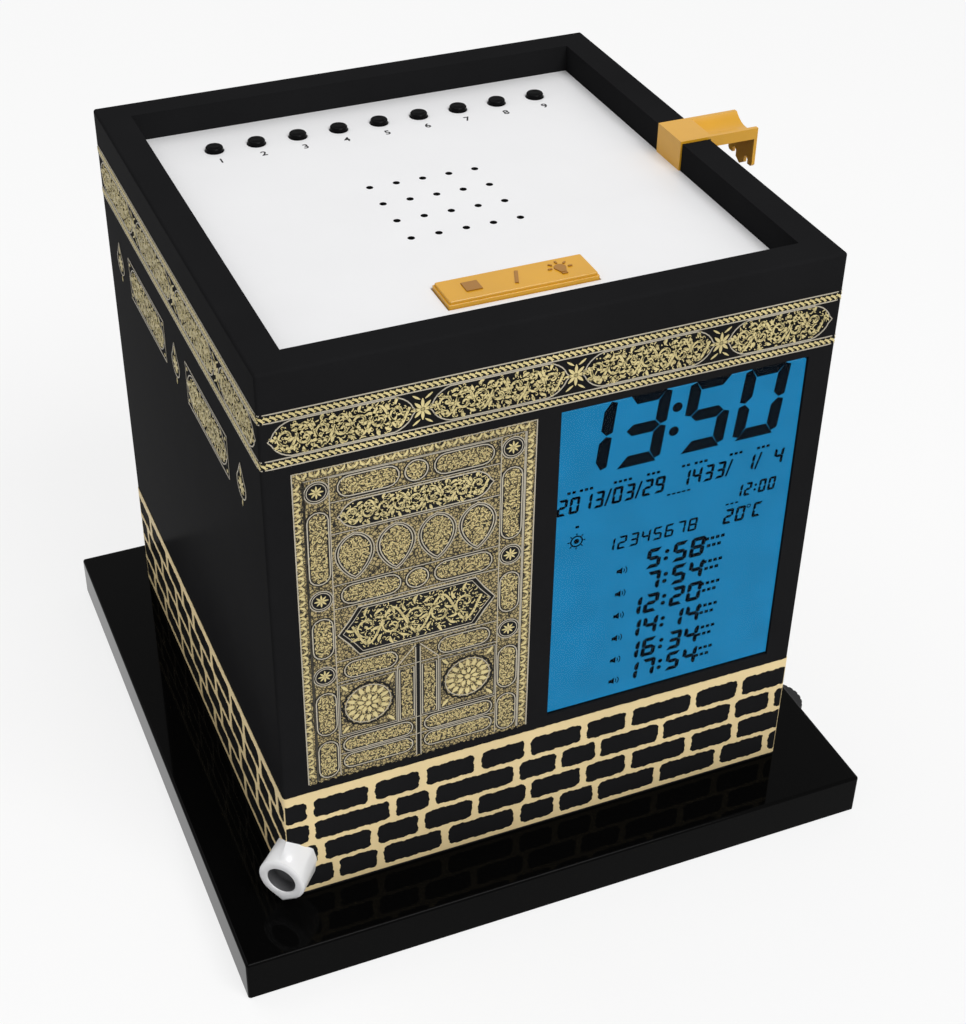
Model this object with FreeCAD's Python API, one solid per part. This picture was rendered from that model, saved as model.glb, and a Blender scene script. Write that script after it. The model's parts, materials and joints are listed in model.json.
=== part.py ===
"""Azan clock: a black cube clock on a square plinth, with a display, roof keys, a spout and a corner frame.

Frame: origin at the middle of the surface it stands on, +Z up, display facing -Y, +X to the right.
All sizes are in millimetres.
"""

import FreeCAD, Part
import math
import os

V = FreeCAD.Vector
UP = V(0, 0, 1)

# Outside of the clock
plinth_side = 180.0
plinth_height = 12.5
body_side = 145.0
body_height = 161.0
edge_round = 0.8
foot_proud = 0.6

# Walls and general fits
body_wall = 2.5
plinth_wall = 2.5
plinth_rib = 1.6
plinth_rib_depth = 4.0
ribs_lengthways = (-30.0, 0.0, 30.0)
ribs_crossways = (-50.0, -20.0, 20.0)
cover_thickness = 2.0
seat_gap = 0.15
moving_gap = 0.25
board_thickness = 1.6

# Roof
parapet_width = 8.4
parapet_wall = 2.0
parapet_cap = 2.4
roof_depth = 7.4
roof_thickness = 2.4
ledge_width = 3.0
ledge_thickness = 2.4
roof_screw_inset = 5.0
ledge_pad = 5.5

# Round keys on the roof
key_count = 9
key_diameter = 4.8
key_pitch = 11.7
key_first = 27.0
key_from_back = 21.9
key_proud = 1.2
key_flange_diameter = 6.8
key_flange = 0.8
key_stem_diameter = 3.4
key_stem = 0.8
button_board_width = 13.0

# Tact switches
switch_side = 6.0
switch_height = 3.5
switch_bore_diameter = 3.6
switch_bore_depth = 1.6
plunger_diameter = 3.2
plunger_entry = 0.2
switch_room = 1.4

# Stop and light bar
bar_length = 38.5
bar_width = 10.6
bar_proud = 1.8
bar_chamfer = 0.9
bar_from_back = 117.7
bar_flange = 1.2
sleeve_gap = 0.4
sleeve_wall = 1.2
sleeve_drop = 2.0
bar_switch_spread = 12.0
bar_post_spread = 24.0
bar_board_length = 54.0
bar_board_width = 12.0

# Speaker
hole_columns = 5
hole_rows = 4
hole_diameter = 1.9
hole_pitch_x = 7.32
hole_pitch_y = 9.8
speaker_diameter = 57.0
speaker_flange = 0.8
speaker_depth = 19.0
gasket_thickness = 1.0
gasket_width = 3.0
magnet_diameter = 30.0
magnet_height = 7.0
cone_thickness = 0.6
speaker_post_radius = 32.2
speaker_post_diameter = 5.0
clamp_diameter = 11.0
clamp_thickness = 0.8
basket_window = 14.0
key_post_diameter = 4.4

# Display
window_left = 72.4
window_width = 65.6
window_top = 26.8
window_height = 94.7
window_recess = 0.8
lens_thickness = 1.7
lens_margin = 1.5
glass_thickness = 2.2
glass_margin = 0.9
contact_ledge = 3.0
lamp_count = 6
lamp_width = 3.4
lamp_room = 3.0
strip_thickness = 1.2
guide_thickness = 4.0
frame_wall = 1.5
frame_back = 1.4
frame_lip = 4.0
display_board_inset = 2.0
drop_radius = 11.0
drop_height = 2.5
lug_length = 7.0
lug_inset = 8.0
lug_drop = 6.5
lug_height = 5.0
lug_thickness = 2.0
lug_width = 8.0

# Spout on the right parapet
spout_width = 12.5
spout_skin = 0.5
spout_proud = 0.7
spout_reach = 14.0
spout_depth = 3.0
trough_width = 10.2
trough_depth = 2.3
apron_drop = 8.0
apron_thickness = 0.9
apron_notch_inner = 2.1
apron_notch_outer = 4.0
apron_notch_depth = 1.2
apron_tongue = 1.6

# White frame on the front left corner
corner_reach = 7.9
corner_centre = 10.67
corner_half_height = 10.5
corner_out = 4.2
corner_rim_diameter = 13.0
corner_opening = 8.0
corner_recess = 3.4
corner_tip = 1.1
corner_lip = 1.2

# Fasteners
screw_diameter = 2.6
screw_head_diameter = 5.0
screw_head = 1.8
body_screw_length = 12.0
cover_screw_length = 6.0
cover_screw_head = 0.9
boss_diameter = 7.0
post_diameter = 6.0
web_thickness = 1.6
body_boss_diameter = 8.4
body_boss_height = 16.0
body_boss_inset = 10.5
body_pilot_depth = 14.0
web_reach = 8.0
cover_screw_inset = 9.0
small_head_diameter = 4.2
small_head = 1.3
small_shank_diameter = 2.0

# Feet
foot_diameter = 12.0
foot_inset = 22.0
foot_recess = 1.0
rear_foot_shift = 4.0

# Battery bay: two rows of two cells
cell_diameter = 14.2
cell_length = 50.0
bay_room = 8.5
bay_wall = 1.6
bay_from_back = 37.25
row_pitch = 15.2
door_side_gap = 0.2
door_tongue = 1.4
door_tongue_thickness = 0.8
door_lip = 0.8
door_end_room = 1.0
cell_pole_diameter = 5.4
cell_pole_height = 1.2
cell_clearance = 0.2
contact_width = 10.0
contact_height = 12.0
contact_sheet = 0.5
leaf_width = 5.0
grip_ridges = 6
grip_pitch = 2.4
grip_width = 24.0
grip_inset = 9.0
grip_depth = 0.6

# Volume wheel in the right edge of the plinth
wheel_diameter = 15.9
wheel_thickness = 3.0
wheel_proud = 4.05
wheel_from_front = 39.1
wheel_shaft_diameter = 1.6
pot_diameter = 4.8
pot_height = 2.6
wheel_notches = 24
wheel_notch_diameter = 1.2
wheel_notch_depth = 0.25
wheel_pocket_gap = 0.5
wheel_pocket_reach = 11.0
volume_screw_offset = 18.0
volume_board_reach = 22.0
volume_board_width = 12.0

# Rear keys
rear_key_count = 4
rear_key_pitch = 14.0
rear_key_diameter = 5.0
rear_key_height = 30.0
rear_key_proud = 1.0
rear_key_flange = 0.8
rear_board_margin = 12.0
board_screw_inset = 4.0

# Power inlet in the back edge of the plinth
inlet_inset = 24.0
inlet_bore_diameter = 4.0
inlet_bore_depth = 9.0
inlet_width = 9.0
inlet_length = 12.0
inlet_height = 6.2
inlet_pin_diameter = 1.2
inlet_nose_diameter = 6.0

# Main board
main_board_length = 96.0
main_board_width = 56.0
main_board_from_front = 42.5
main_socket_place = -23.0
inlet_board_length = 17.0
inlet_board_width = 14.0
standoff = 6.0
socket_height = 6.0
socket_length = 22.0
chips = [(-14, -8, 18, 18, 1.8), (16, -6, 14, 10, 1.6), (-34, -4, 10, 10, 3.0), (-11, main_socket_place - 3, 22, 6, socket_height),
         (32, 14, 8, 6, 5.0)]
cans = [(8.0, 14, 15, 11.0), (8.0, 24, 15, 11.0), (6.3, -4, 17, 8.0), (20.0, -34, 14, 3.2)]

# Ribbon cable
ribbon_width = 16.0
ribbon_thickness = 0.8
ribbon_rise = 9.0
ribbon_loop = 3.0

# Levels worked out from the sizes above
plinth_bottom = foot_proud
plinth_top = plinth_bottom + plinth_height
plinth_ceiling = plinth_top - plinth_wall
cover_top = plinth_bottom + cover_thickness
body_top = plinth_top + body_height
roof_top = body_top - roof_depth
roof_bottom = roof_top - roof_thickness
ledge_bottom = roof_bottom - ledge_thickness
half_body = body_side / 2
half_plinth = plinth_side / 2
inner_half = half_body - body_wall
well_half = half_body - parapet_width
roof_half = well_half - seat_gap
front_inside = -half_body + body_wall
key_stop_gap = 0.1
switch_top = roof_bottom - key_stop_gap - key_flange - key_stem - switch_room
switch_base = switch_top - switch_height
board_bottom = switch_base - board_thickness
key_y = half_body - key_from_back
bar_y = half_body - bar_from_back
window_x0 = -half_body + window_left
window_x1 = window_x0 + window_width
window_z1 = body_top - window_top
window_z0 = window_z1 - window_height



def box(x0, y0, z0, x1, y1, z1):
    """A block between two corners."""
    return Part.makeBox(x1 - x0, y1 - y0, z1 - z0, V(x0, y0, z0))


def square(half, z0, z1):
    """A square block about the vertical axis."""
    return box(-half, -half, z0, half, half, z1)


def rod(diameter, x, y, z0, z1):
    """A vertical cylinder."""
    return Part.makeCylinder(diameter / 2, z1 - z0, V(x, y, z0))


def rod_along(diameter, start, direction, length):
    """A cylinder from a point along a direction."""
    return Part.makeCylinder(diameter / 2, length, V(*start), V(*direction))


def turned(points, x=0.0, y=0.0, z=0.0):
    """A solid of revolution about a vertical axis, from (radius, height) points."""
    profile = [V(r, 0, h) for r, h in points]
    face = Part.Face(Part.makePolygon(profile + profile[:1]))
    solid = face.revolve(V(0, 0, 0), UP, 360)
    solid.translate(V(x, y, z))
    return solid


def extruded(points, direction):
    """A closed outline of points pushed along a direction."""
    corners = [V(*p) for p in points]
    return Part.Face(Part.makePolygon(corners + corners[:1])).extrude(V(*direction))


def fuse(first, others):
    """One solid of several, with merged faces."""
    return first.multiFuse(others).removeSplitter() if others else first


def cut(first, others):
    """The first solid less the others."""
    return first.cut(Part.makeCompound(others)) if others else first


def upright_edges(shape, half):
    """The vertical edges on the corners of a square block."""
    found = []
    for edge in shape.Edges:
        low = edge.BoundBox
        tall = low.ZLength > low.XLength + low.YLength
        if tall and abs(abs(low.XMin) - half) < 0.01 and abs(abs(low.YMin) - half) < 0.01:
            found.append(edge)
    return found


def level_edges(shape, half, z):
    """The edges round the outside of a square block at one height."""
    found = []
    for edge in shape.Edges:
        low = edge.BoundBox
        flat = low.ZLength < 0.01 and abs(low.ZMin - z) < 0.01
        on_side = max(abs(low.XMin), abs(low.XMax), abs(low.YMin), abs(low.YMax)) > half - 0.01
        if flat and on_side:
            found.append(edge)
    return found


def corners(place):
    """The four points at plus and minus one distance."""
    return [(x, y) for x in (-place, place) for y in (-place, place)]


def small_screw(x, y, z, length):
    """A small screw driven upward with its head against z."""
    return fuse(rod(small_head_diameter, x, y, z - small_head, z), [rod(small_shank_diameter, x, y, z, z + length)])


# Places and levels that several sub-parts share
cover_screw_place = half_plinth - cover_screw_inset
cover_screws_at = corners(cover_screw_place) + [(-cover_screw_place, 0.0), (cover_screw_place, 0.0)]
body_screws_at = corners(half_body - body_boss_inset)
foot_place = half_plinth - foot_inset
foot_back = foot_place - rear_foot_shift
feet_at = [(-foot_place, -foot_place), (foot_place, -foot_place), (-foot_place, foot_back), (foot_place, foot_back)]
feet_at.append((0.0, 0.0))
bay_middle = half_plinth - bay_from_back
cell_reach = cell_diameter / 2 + 2 * cell_clearance
bay_half = cell_length + bay_room / 2
bay_y0 = bay_middle - row_pitch / 2 - cell_reach
bay_y1 = bay_middle + row_pitch / 2 + cell_reach
cell_axis = cover_top + cell_clearance + cell_diameter / 2
bay_ceiling = cell_axis + cell_reach
door_top = cover_top - cell_clearance
door_half = bay_half - door_end_room
rear_key_z = plinth_top + rear_key_height
rear_keys_at = [(k - (rear_key_count - 1) / 2) * rear_key_pitch for k in range(rear_key_count)]
rear_board_half = rear_keys_at[-1] + rear_board_margin
rear_screws_at = [-rear_board_half + board_screw_inset, rear_board_half - board_screw_inset]
rear_switch_front = inner_half - key_stop_gap - rear_key_flange - key_stem - switch_room
rear_switch_back = rear_switch_front - switch_height
rear_post = inner_half - rear_switch_back
roof_screws_at = corners(well_half - roof_screw_inset)
keys_at = [-half_body + key_first + key_pitch * k for k in range(key_count)]
key_posts_at = [(keys_at[k] + key_pitch / 2, key_y) for k in (0, key_count // 2, key_count - 2)]
bar_posts_at = [(-bar_post_spread, bar_y), (bar_post_spread, bar_y)]
bar_switches_at = [(-bar_switch_spread, bar_y), (bar_switch_spread, bar_y)]
speaker_turns = [math.radians(45 + 90 * k) for k in range(4)]
speaker_posts_at = [(speaker_post_radius * math.cos(a), speaker_post_radius * math.sin(a)) for a in speaker_turns]
speaker_holes_at = [((i - (hole_columns - 1) / 2) * hole_pitch_x, ((hole_rows - 1) / 2 - j) * hole_pitch_y)
                    for i in range(hole_columns) for j in range(hole_rows)]
gasket_bottom = roof_bottom - gasket_thickness
clamp_bottom = gasket_bottom - speaker_flange - clamp_thickness
lug_seat = front_inside + lug_height
lugs_at = [(x, z) for x in (window_x0 + lug_inset, window_x1 - lug_inset)
           for z in (window_z0 - lug_drop, window_z1 + lug_drop)]
display_board_front = front_inside + glass_thickness + guide_thickness + frame_back
display_socket_back = display_board_front + board_thickness + 5.0
display_socket_top = window_z0 + display_board_inset + 9.0
main_board_bottom = plinth_top + standoff
main_board_top = main_board_bottom + board_thickness
main_board_y = -half_body + main_board_from_front
main_post_x = main_board_length / 2 - board_screw_inset
main_post_y = main_board_width / 2 - board_screw_inset
main_posts_at = [(x, main_board_y + y) for x in (-main_post_x, main_post_x) for y in (-main_post_y, main_post_y)]
main_socket_y = main_board_y + main_socket_place
wheel_x = half_plinth + wheel_proud - wheel_diameter / 2
wheel_y = -half_plinth + wheel_from_front
inlet_x = half_plinth - inlet_inset
pot_base = cover_top + 0.1 + board_thickness
pot_top = pot_base + pot_height
volume_screw_x = wheel_x - volume_screw_offset


def group(solids):
    """Several separate solids as one node."""
    return Part.makeCompound(solids)


def screw(x, y, z, length, head=screw_head):
    """A cross head screw driven upward, with its head against z."""
    reach = screw_head_diameter / 2
    outline = [(0, -head), (reach - 0.4 * head, -head), (reach, -0.5 * head), (reach, 0), (screw_diameter / 2, 0),
               (screw_diameter / 2, length - 0.8), (0, length)]
    body = turned(outline, x, y, z)
    slots = [box(x - a, y - b, z - head - 1, x + a, y + b, z - 0.4 * head) for a, b in ((1.4, 0.35), (0.35, 1.4))]
    return cut(body, slots)


def plinth():
    """The moulded plinth: a shallow tray, open below, with screw bosses and ribs."""
    shell = square(half_plinth, plinth_bottom, plinth_top)
    shell = shell.makeFillet(edge_round, upright_edges(shell, half_plinth) + level_edges(shell, half_plinth, plinth_top))
    shell = shell.cut(square(half_plinth - plinth_wall, plinth_bottom - 1, plinth_ceiling))
    pillars = [rod(boss_diameter, x, y, cover_top, plinth_ceiling + 0.5) for x, y in cover_screws_at]
    pillars.append(rod(post_diameter, volume_screw_x, wheel_y, pot_base, plinth_ceiling + 0.5))
    rib = plinth_rib / 2
    rib_bottom = plinth_ceiling - plinth_rib_depth
    for x in ribs_lengthways:
        pillars.append(box(x - rib, -half_plinth + 1, rib_bottom, x + rib, bay_y0 - 6, plinth_ceiling + 0.5))
    for y in ribs_crossways:
        pillars.append(box(-half_plinth + 1, y - rib, rib_bottom, volume_screw_x - 6, y + rib, plinth_ceiling + 0.5))
    shell = fuse(shell, pillars)
    bay_gap = 0.5
    holes = [rod(screw_diameter, x, y, cover_top - 1, plinth_ceiling - 1) for x, y in cover_screws_at]
    holes += [rod(screw_diameter + 0.8, x, y, plinth_ceiling - 5, plinth_top + 1)
              for x, y in body_screws_at]
    holes.append(box(-bay_half - bay_wall - bay_gap, bay_y0 - bay_wall - bay_gap, plinth_ceiling - 5,
                     bay_half + bay_wall + bay_gap, bay_y1 + bay_wall + 0.2, plinth_top + 1))
    holes.append(box(-12, 4, plinth_ceiling - 5, 12, 14, plinth_top + 1))
    holes.append(box(-door_half - door_tongue - moving_gap, half_plinth - plinth_wall - 1, plinth_bottom - 1,
                     door_half + door_tongue + moving_gap, half_plinth + 1, door_top + moving_gap))
    pocket = wheel_diameter / 2 + wheel_pocket_gap
    holes.append(box(wheel_x - wheel_pocket_reach, wheel_y - pocket, cover_top,
                     half_plinth - 1.1, wheel_y + pocket, plinth_ceiling))
    holes.append(box(half_plinth - 2, wheel_y - pocket, plinth_ceiling - wheel_thickness - 2 * moving_gap,
                     half_plinth + 1, wheel_y + pocket, plinth_ceiling))
    inlet_z = plinth_ceiling - board_thickness - inlet_height / 2
    holes.append(rod_along(inlet_nose_diameter + 0.3, (inlet_x, half_plinth + 1, inlet_z), (0, -1, 0), 6))
    holes.append(rod(screw_diameter, volume_screw_x, wheel_y, cover_top, plinth_ceiling - 1))
    return cut(shell, holes)


def base_cover():
    """The bottom cover with the battery bay standing on it and the slot for the battery door."""
    half = half_plinth - plinth_wall - seat_gap
    plate = square(half, plinth_bottom, cover_top)
    bay = box(-bay_half - bay_wall, bay_y0 - bay_wall, cover_top - 0.5,
              bay_half + bay_wall, bay_y1 + bay_wall, bay_ceiling + bay_wall)
    plate = fuse(plate, [bay])
    holes = [box(-bay_half, bay_y0, plinth_bottom - 1, bay_half, bay_y1, bay_ceiling)]
    slot = door_half + door_tongue + door_side_gap
    front = bay_y0 - door_side_gap - 1
    holes.append(box(-door_half - door_side_gap, front, plinth_bottom - 1,
                     door_half + door_side_gap, half + 1, plinth_bottom + door_lip))
    holes.append(box(-slot, front, plinth_bottom + door_lip, slot, half + 1, door_top + 0.1))
    holes.append(box(-door_half, bay_y1 + bay_wall, plinth_bottom, door_half, half + 1, cover_top + 1))
    holes += [rod(foot_diameter + 0.3, x, y, plinth_bottom - 1, plinth_bottom + foot_recess)
              for x, y in feet_at]
    for x, y in cover_screws_at:
        holes.append(rod(screw_diameter + 0.6, x, y, plinth_bottom - 1, cover_top + 1))
        holes.append(rod(screw_head_diameter + 0.6, x, y, plinth_bottom - 1, plinth_bottom + cover_thickness / 2))
    return cut(plate, holes)


def rubber_feet():
    """Round feet set in the bottom cover: one near each corner and one in the middle."""
    height = foot_proud + foot_recess
    profile = [(0, 0), (foot_diameter / 2 - 0.5, 0), (foot_diameter / 2, 0.5), (foot_diameter / 2, height), (0, height)]
    return group([turned(profile, x, y) for x, y in feet_at])


def battery_door():
    """The sliding battery door: a plate with a tongue along each side and finger ridges."""
    front = bay_y0 - 1
    back = half_plinth
    plate = box(-door_half, front, plinth_bottom, door_half, back, door_top)
    tongue = box(-door_half - door_tongue, front, door_top - door_tongue_thickness,
                 door_half + door_tongue, back - plinth_wall - 0.4, door_top)
    plate = fuse(plate, [tongue])
    grooves = []
    x = -grip_width / 2
    for k in range(grip_ridges):
        y = back - grip_inset - grip_pitch * k
        grooves.append(extruded([(x, y, plinth_bottom - 0.1), (x, y + 2 * grip_depth + 0.2, plinth_bottom - 0.1),
                                 (x, y + grip_depth + 0.1, plinth_bottom + grip_depth)], (grip_width, 0, 0)))
    return cut(plate, grooves)


def battery_cells():
    """Four cells in two rows, each with its raised pole."""
    cells = []
    can_length = cell_length - cell_pole_height - 0.1
    for row in (-1, 1):
        y = bay_middle + row * row_pitch / 2
        for start in (-cell_length, 0.0):
            can = rod_along(cell_diameter, (start + 0.1, y, cell_axis), (1, 0, 0), can_length)
            tip = rod_along(cell_pole_diameter, (start + can_length, y, cell_axis), (1, 0, 0), cell_pole_height + 0.1)
            cell = can.fuse(tip)
            if row > 0:
                cell.rotate(V(0, y, cell_axis), UP, 180)
            cells.append(cell)
    return group(cells)


def battery_contacts():
    """Flat contacts and folded leaf springs at both ends of the bay."""
    pieces = []
    low = cell_axis - contact_height / 2
    high = cell_axis + contact_height / 2
    for row in (-1, 1):
        y = bay_middle + row * row_pitch / 2
        y_plate = y - contact_width / 2
        y_leaf = y - leaf_width / 2
        for side in (-1, 1):
            wall = side * bay_half
            inner = wall - side * contact_sheet
            nose = side * (cell_length + 0.05)
            heel = nose + side * contact_sheet * 1.4
            plate = extruded([(wall, y_plate, low), (inner, y_plate, low), (inner, y_plate, high),
                              (wall, y_plate, high)], (0, contact_width, 0))
            leaf = extruded([(inner, y_leaf, low + 1), (nose, y_leaf, cell_axis), (inner, y_leaf, high - 1),
                             (inner, y_leaf, high - 2), (heel, y_leaf, cell_axis), (inner, y_leaf, low + 2)],
                            (0, leaf_width, 0))
            pieces.append(plate.fuse(leaf))
    return group(pieces)


def cover_screws():
    """Screws that hold the bottom cover to the plinth's bosses."""
    seat = plinth_bottom + cover_thickness / 2
    return group([screw(x, y, seat, cover_screw_length, cover_screw_head) for x, y in cover_screws_at])


def body_shell():
    """The moulded cube: four walls, a hollow parapet, a roof ledge and inner bosses, open below."""
    shell = square(half_body, plinth_top, body_top)
    shell = shell.makeFillet(edge_round, upright_edges(shell, half_body) + level_edges(shell, half_body, body_top))
    channel = square(inner_half, ledge_bottom - 1, body_top - parapet_cap)
    channel = channel.cut(square(well_half + parapet_wall, ledge_bottom - 1, body_top))
    holes = [square(inner_half, plinth_top - 1, ledge_bottom),
             channel,
             square(well_half, roof_bottom, body_top + 1),
             square(well_half - ledge_width, ledge_bottom - 1, roof_bottom + 1)]
    inner = lens_margin + seat_gap
    holes.append(box(window_x0, -half_body - 1, window_z0, window_x1, front_inside + 1, window_z1))
    holes.append(box(window_x0 - inner, -half_body + window_recess, window_z0 - inner,
                     window_x1 + inner, front_inside + 1, window_z1 + inner))
    for x in rear_keys_at:
        holes.append(rod_along(rear_key_diameter + 2 * moving_gap, (x, half_body + 1, rear_key_z),
                               (0, -1, 0), body_wall + 2))
    shell = cut(shell, holes)
    added = []
    boss_top = plinth_top + body_boss_height
    web = web_thickness / 2
    inside = square(inner_half + 0.5, plinth_top, body_top)
    for x, y in body_screws_at:
        out_x = math.copysign(2 * web_reach, x)
        out_y = math.copysign(2 * web_reach, y)
        webs = [extruded([(x, y - web, plinth_top), (x + out_x, y - web, plinth_top), (x + out_x, y + web, plinth_top),
                          (x, y + web, plinth_top)], (0, 0, body_boss_height)),
                extruded([(x - web, y, plinth_top), (x - web, y + out_y, plinth_top), (x + web, y + out_y, plinth_top),
                          (x + web, y, plinth_top)], (0, 0, body_boss_height))]
        added.append(rod(body_boss_diameter, x, y, plinth_top, boss_top))
        added += [piece.common(inside) for piece in webs]
    ledge_zone = square(well_half + 0.5, ledge_bottom, roof_bottom)
    for x, y in roof_screws_at:
        added.append(box(x - ledge_pad, y - ledge_pad, ledge_bottom, x + ledge_pad, y + ledge_pad, roof_bottom)
                     .common(ledge_zone))
    for x, z in lugs_at:
        added.append(rod_along(post_diameter, (x, front_inside - 0.5, z), (0, 1, 0), lug_height + 0.5))
    for x in rear_screws_at:
        added.append(rod_along(post_diameter, (x, inner_half + 0.5, rear_key_z), (0, -1, 0), rear_post + 0.5))
    shell = fuse(shell, added)
    pilots = [rod(screw_diameter, x, y, plinth_top - 1, plinth_top + body_pilot_depth)
              for x, y in body_screws_at]
    pilots += [rod(screw_diameter + 0.6, x, y, ledge_bottom - 1, roof_bottom + 1) for x, y in roof_screws_at]
    pilots += [rod_along(screw_diameter, (x, lug_seat + 1, z), (0, -1, 0), lug_height - 0.4) for x, z in lugs_at]
    pilots += [rod_along(screw_diameter, (x, rear_switch_back - 1, rear_key_z), (0, 1, 0), rear_post)
               for x in rear_screws_at]
    return cut(shell, pilots)


def body_screws():
    """Screws that hold the cube to the plinth, driven from below before the cover goes on."""
    return group([screw(x, y, plinth_ceiling, body_screw_length) for x, y in body_screws_at])


def roof_panel():
    """The white roof: key holes, speaker holes, the bar's opening, and posts below."""
    panel = square(roof_half, roof_bottom, roof_top)
    posts = [rod(key_post_diameter, x, y, switch_base, roof_bottom + 0.5) for x, y in key_posts_at + bar_posts_at]
    posts += [rod(speaker_post_diameter, x, y, gasket_bottom - speaker_flange, roof_bottom + 0.5)
              for x, y in speaker_posts_at]
    room_x = bar_length / 2 + bar_flange + sleeve_gap
    room_y = bar_width / 2 + bar_flange + sleeve_gap
    outer_x = room_x + sleeve_wall
    outer_y = room_y + sleeve_wall
    sleeve = box(-outer_x, bar_y - outer_y, roof_bottom - sleeve_drop, outer_x, bar_y + outer_y, roof_bottom + 0.5)
    sleeve = sleeve.cut(box(-room_x, bar_y - room_y, roof_bottom - sleeve_drop - 1,
                            room_x, bar_y + room_y, roof_bottom))
    panel = fuse(panel, posts + [sleeve])
    holes = [rod(key_diameter + 2 * moving_gap, x, key_y, roof_bottom - 1, roof_top + 1) for x in keys_at]
    holes += [rod(hole_diameter, x, y, roof_bottom - 1, roof_top + 1) for x, y in speaker_holes_at]
    holes.append(box(-bar_length / 2 - moving_gap, bar_y - bar_width / 2 - moving_gap, roof_bottom - 1,
                     bar_length / 2 + moving_gap, bar_y + bar_width / 2 + moving_gap, roof_top + 1))
    holes += [rod(small_shank_diameter, x, y, switch_base - 1, roof_bottom) for x, y in key_posts_at + bar_posts_at]
    holes += [rod(small_shank_diameter, x, y, gasket_bottom - 2, roof_bottom) for x, y in speaker_posts_at]
    holes += [rod(screw_diameter, x, y, roof_bottom - 1, roof_top - 0.8) for x, y in roof_screws_at]
    return cut(panel, holes)


def roof_screws():
    """Four screws up through the ledge into the roof panel."""
    return group([small_screw(x, y, ledge_bottom, ledge_thickness + 1.2) for x, y in roof_screws_at])


def play_button(k):
    """One round key with its retaining flange, its stem and the plunger that it drives."""
    x = keys_at[k]
    radius = key_diameter / 2
    flange_top = roof_bottom - key_stop_gap
    stem_bottom = flange_top - key_flange - key_stem
    profile = [(0, stem_bottom), (key_stem_diameter / 2, stem_bottom), (key_stem_diameter / 2, stem_bottom + key_stem),
               (key_flange_diameter / 2, stem_bottom + key_stem), (key_flange_diameter / 2, flange_top),
               (radius, flange_top), (radius, roof_top + key_proud - 0.5),
               (radius - 0.5, roof_top + key_proud), (0, roof_top + key_proud)]
    cap = turned(profile, x, key_y)
    plunger = rod(plunger_diameter, x, key_y, switch_top - plunger_entry, stem_bottom)
    return group([cap, plunger])


def switches(places):
    """Square switch cases, each with the bore that its plunger runs in."""
    half = switch_side / 2
    cases = []
    for x, y in places:
        case = box(x - half, y - half, switch_base, x + half, y + half, switch_top)
        cases.append(case.cut(rod(switch_bore_diameter, x, y, switch_top - switch_bore_depth, switch_top + 1)))
    return group(cases)


def board(x0, y0, x1, y1, top, screws):
    """A circuit board below a level, with clearance holes at its screws."""
    plate = box(x0, y0, top - board_thickness, x1, y1, top)
    return cut(plate, [rod(screw_diameter, x, y, top - board_thickness - 1, top + 1) for x, y in screws])


def button_board():
    """The board under the round keys."""
    reach = button_board_width / 2
    return board(keys_at[0] - reach, key_y - reach, keys_at[-1] + reach, key_y + reach, switch_base, key_posts_at)


def bar_board():
    """The board under the bar."""
    return board(-bar_board_length / 2, bar_y - bar_board_width / 2, bar_board_length / 2,
                 bar_y + bar_board_width / 2, switch_base, bar_posts_at)


def board_screws():
    """The small screws of the two roof boards and the speaker clamps' screws."""
    screws = [small_screw(x, y, board_bottom, 5.0) for x, y in key_posts_at + bar_posts_at]
    screws += [small_screw(x, y, clamp_bottom, 2 * clamp_thickness) for x, y in speaker_posts_at]
    return group(screws)


def stop_light_bar():
    """The long key: a chamfered block with a flange below the roof and two plungers."""
    top = roof_top + bar_proud
    flange_top = roof_bottom - key_stop_gap
    x, y = bar_length / 2, bar_width / 2
    block = box(-x, bar_y - y, flange_top - 0.5, x, bar_y + y, top)
    rim = [e for e in block.Edges if abs(e.BoundBox.ZMin - top) < 0.01 and e.BoundBox.ZLength < 0.01]
    block = block.makeChamfer(bar_chamfer, rim)
    flange = box(-x - bar_flange, bar_y - y - bar_flange, flange_top - key_flange,
                 x + bar_flange, bar_y + y + bar_flange, flange_top)
    stem_bottom = flange_top - key_flange - key_stem
    stems = [rod(key_stem_diameter, place, row, stem_bottom, flange_top) for place, row in bar_switches_at]
    plungers = [rod(plunger_diameter, place, row, switch_top - plunger_entry, stem_bottom)
                for place, row in bar_switches_at]
    return group([fuse(block, [flange] + stems)] + plungers)


def speaker_basket():
    """The pressed basket: a flat ring, a sloping cone with four windows, and a floor."""
    top = gasket_bottom
    outer = speaker_diameter / 2
    rim = outer - 4.0
    floor = top - speaker_depth + magnet_height
    sheet = speaker_flange
    seat = magnet_diameter / 2 + 1
    points = [(outer, top), (outer, top - sheet), (rim + 0.4, top - sheet), (seat, floor - sheet),
              (5.0, floor - sheet), (5.0, floor), (seat - 0.4, floor), (rim, top)]
    basket = turned(points)
    windows = []
    for turn in (0, 90, 180, 270):
        window = box(seat + 1.0, -basket_window / 2, floor + 1.6, outer, basket_window / 2, top - sheet - 1.0)
        window.rotate(V(0, 0, 0), UP, turn)
        windows.append(window)
    return cut(basket, windows)


def speaker_magnet():
    """The ring magnet with its back plate."""
    floor = gasket_bottom - speaker_depth + magnet_height - speaker_flange
    half = magnet_diameter / 2
    ring = turned([(5.0, floor), (half, floor), (half, floor - magnet_height + 2), (5.0, floor - magnet_height + 2)])
    plate = turned([(0, floor - magnet_height + 2), (half - 1, floor - magnet_height + 2),
                    (half - 1, floor - magnet_height), (0, floor - magnet_height)])
    pole = turned([(0, floor - magnet_height + 2), (4.0, floor - magnet_height + 2), (4.0, floor), (0, floor)])
    return fuse(ring, [plate, pole])


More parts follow.
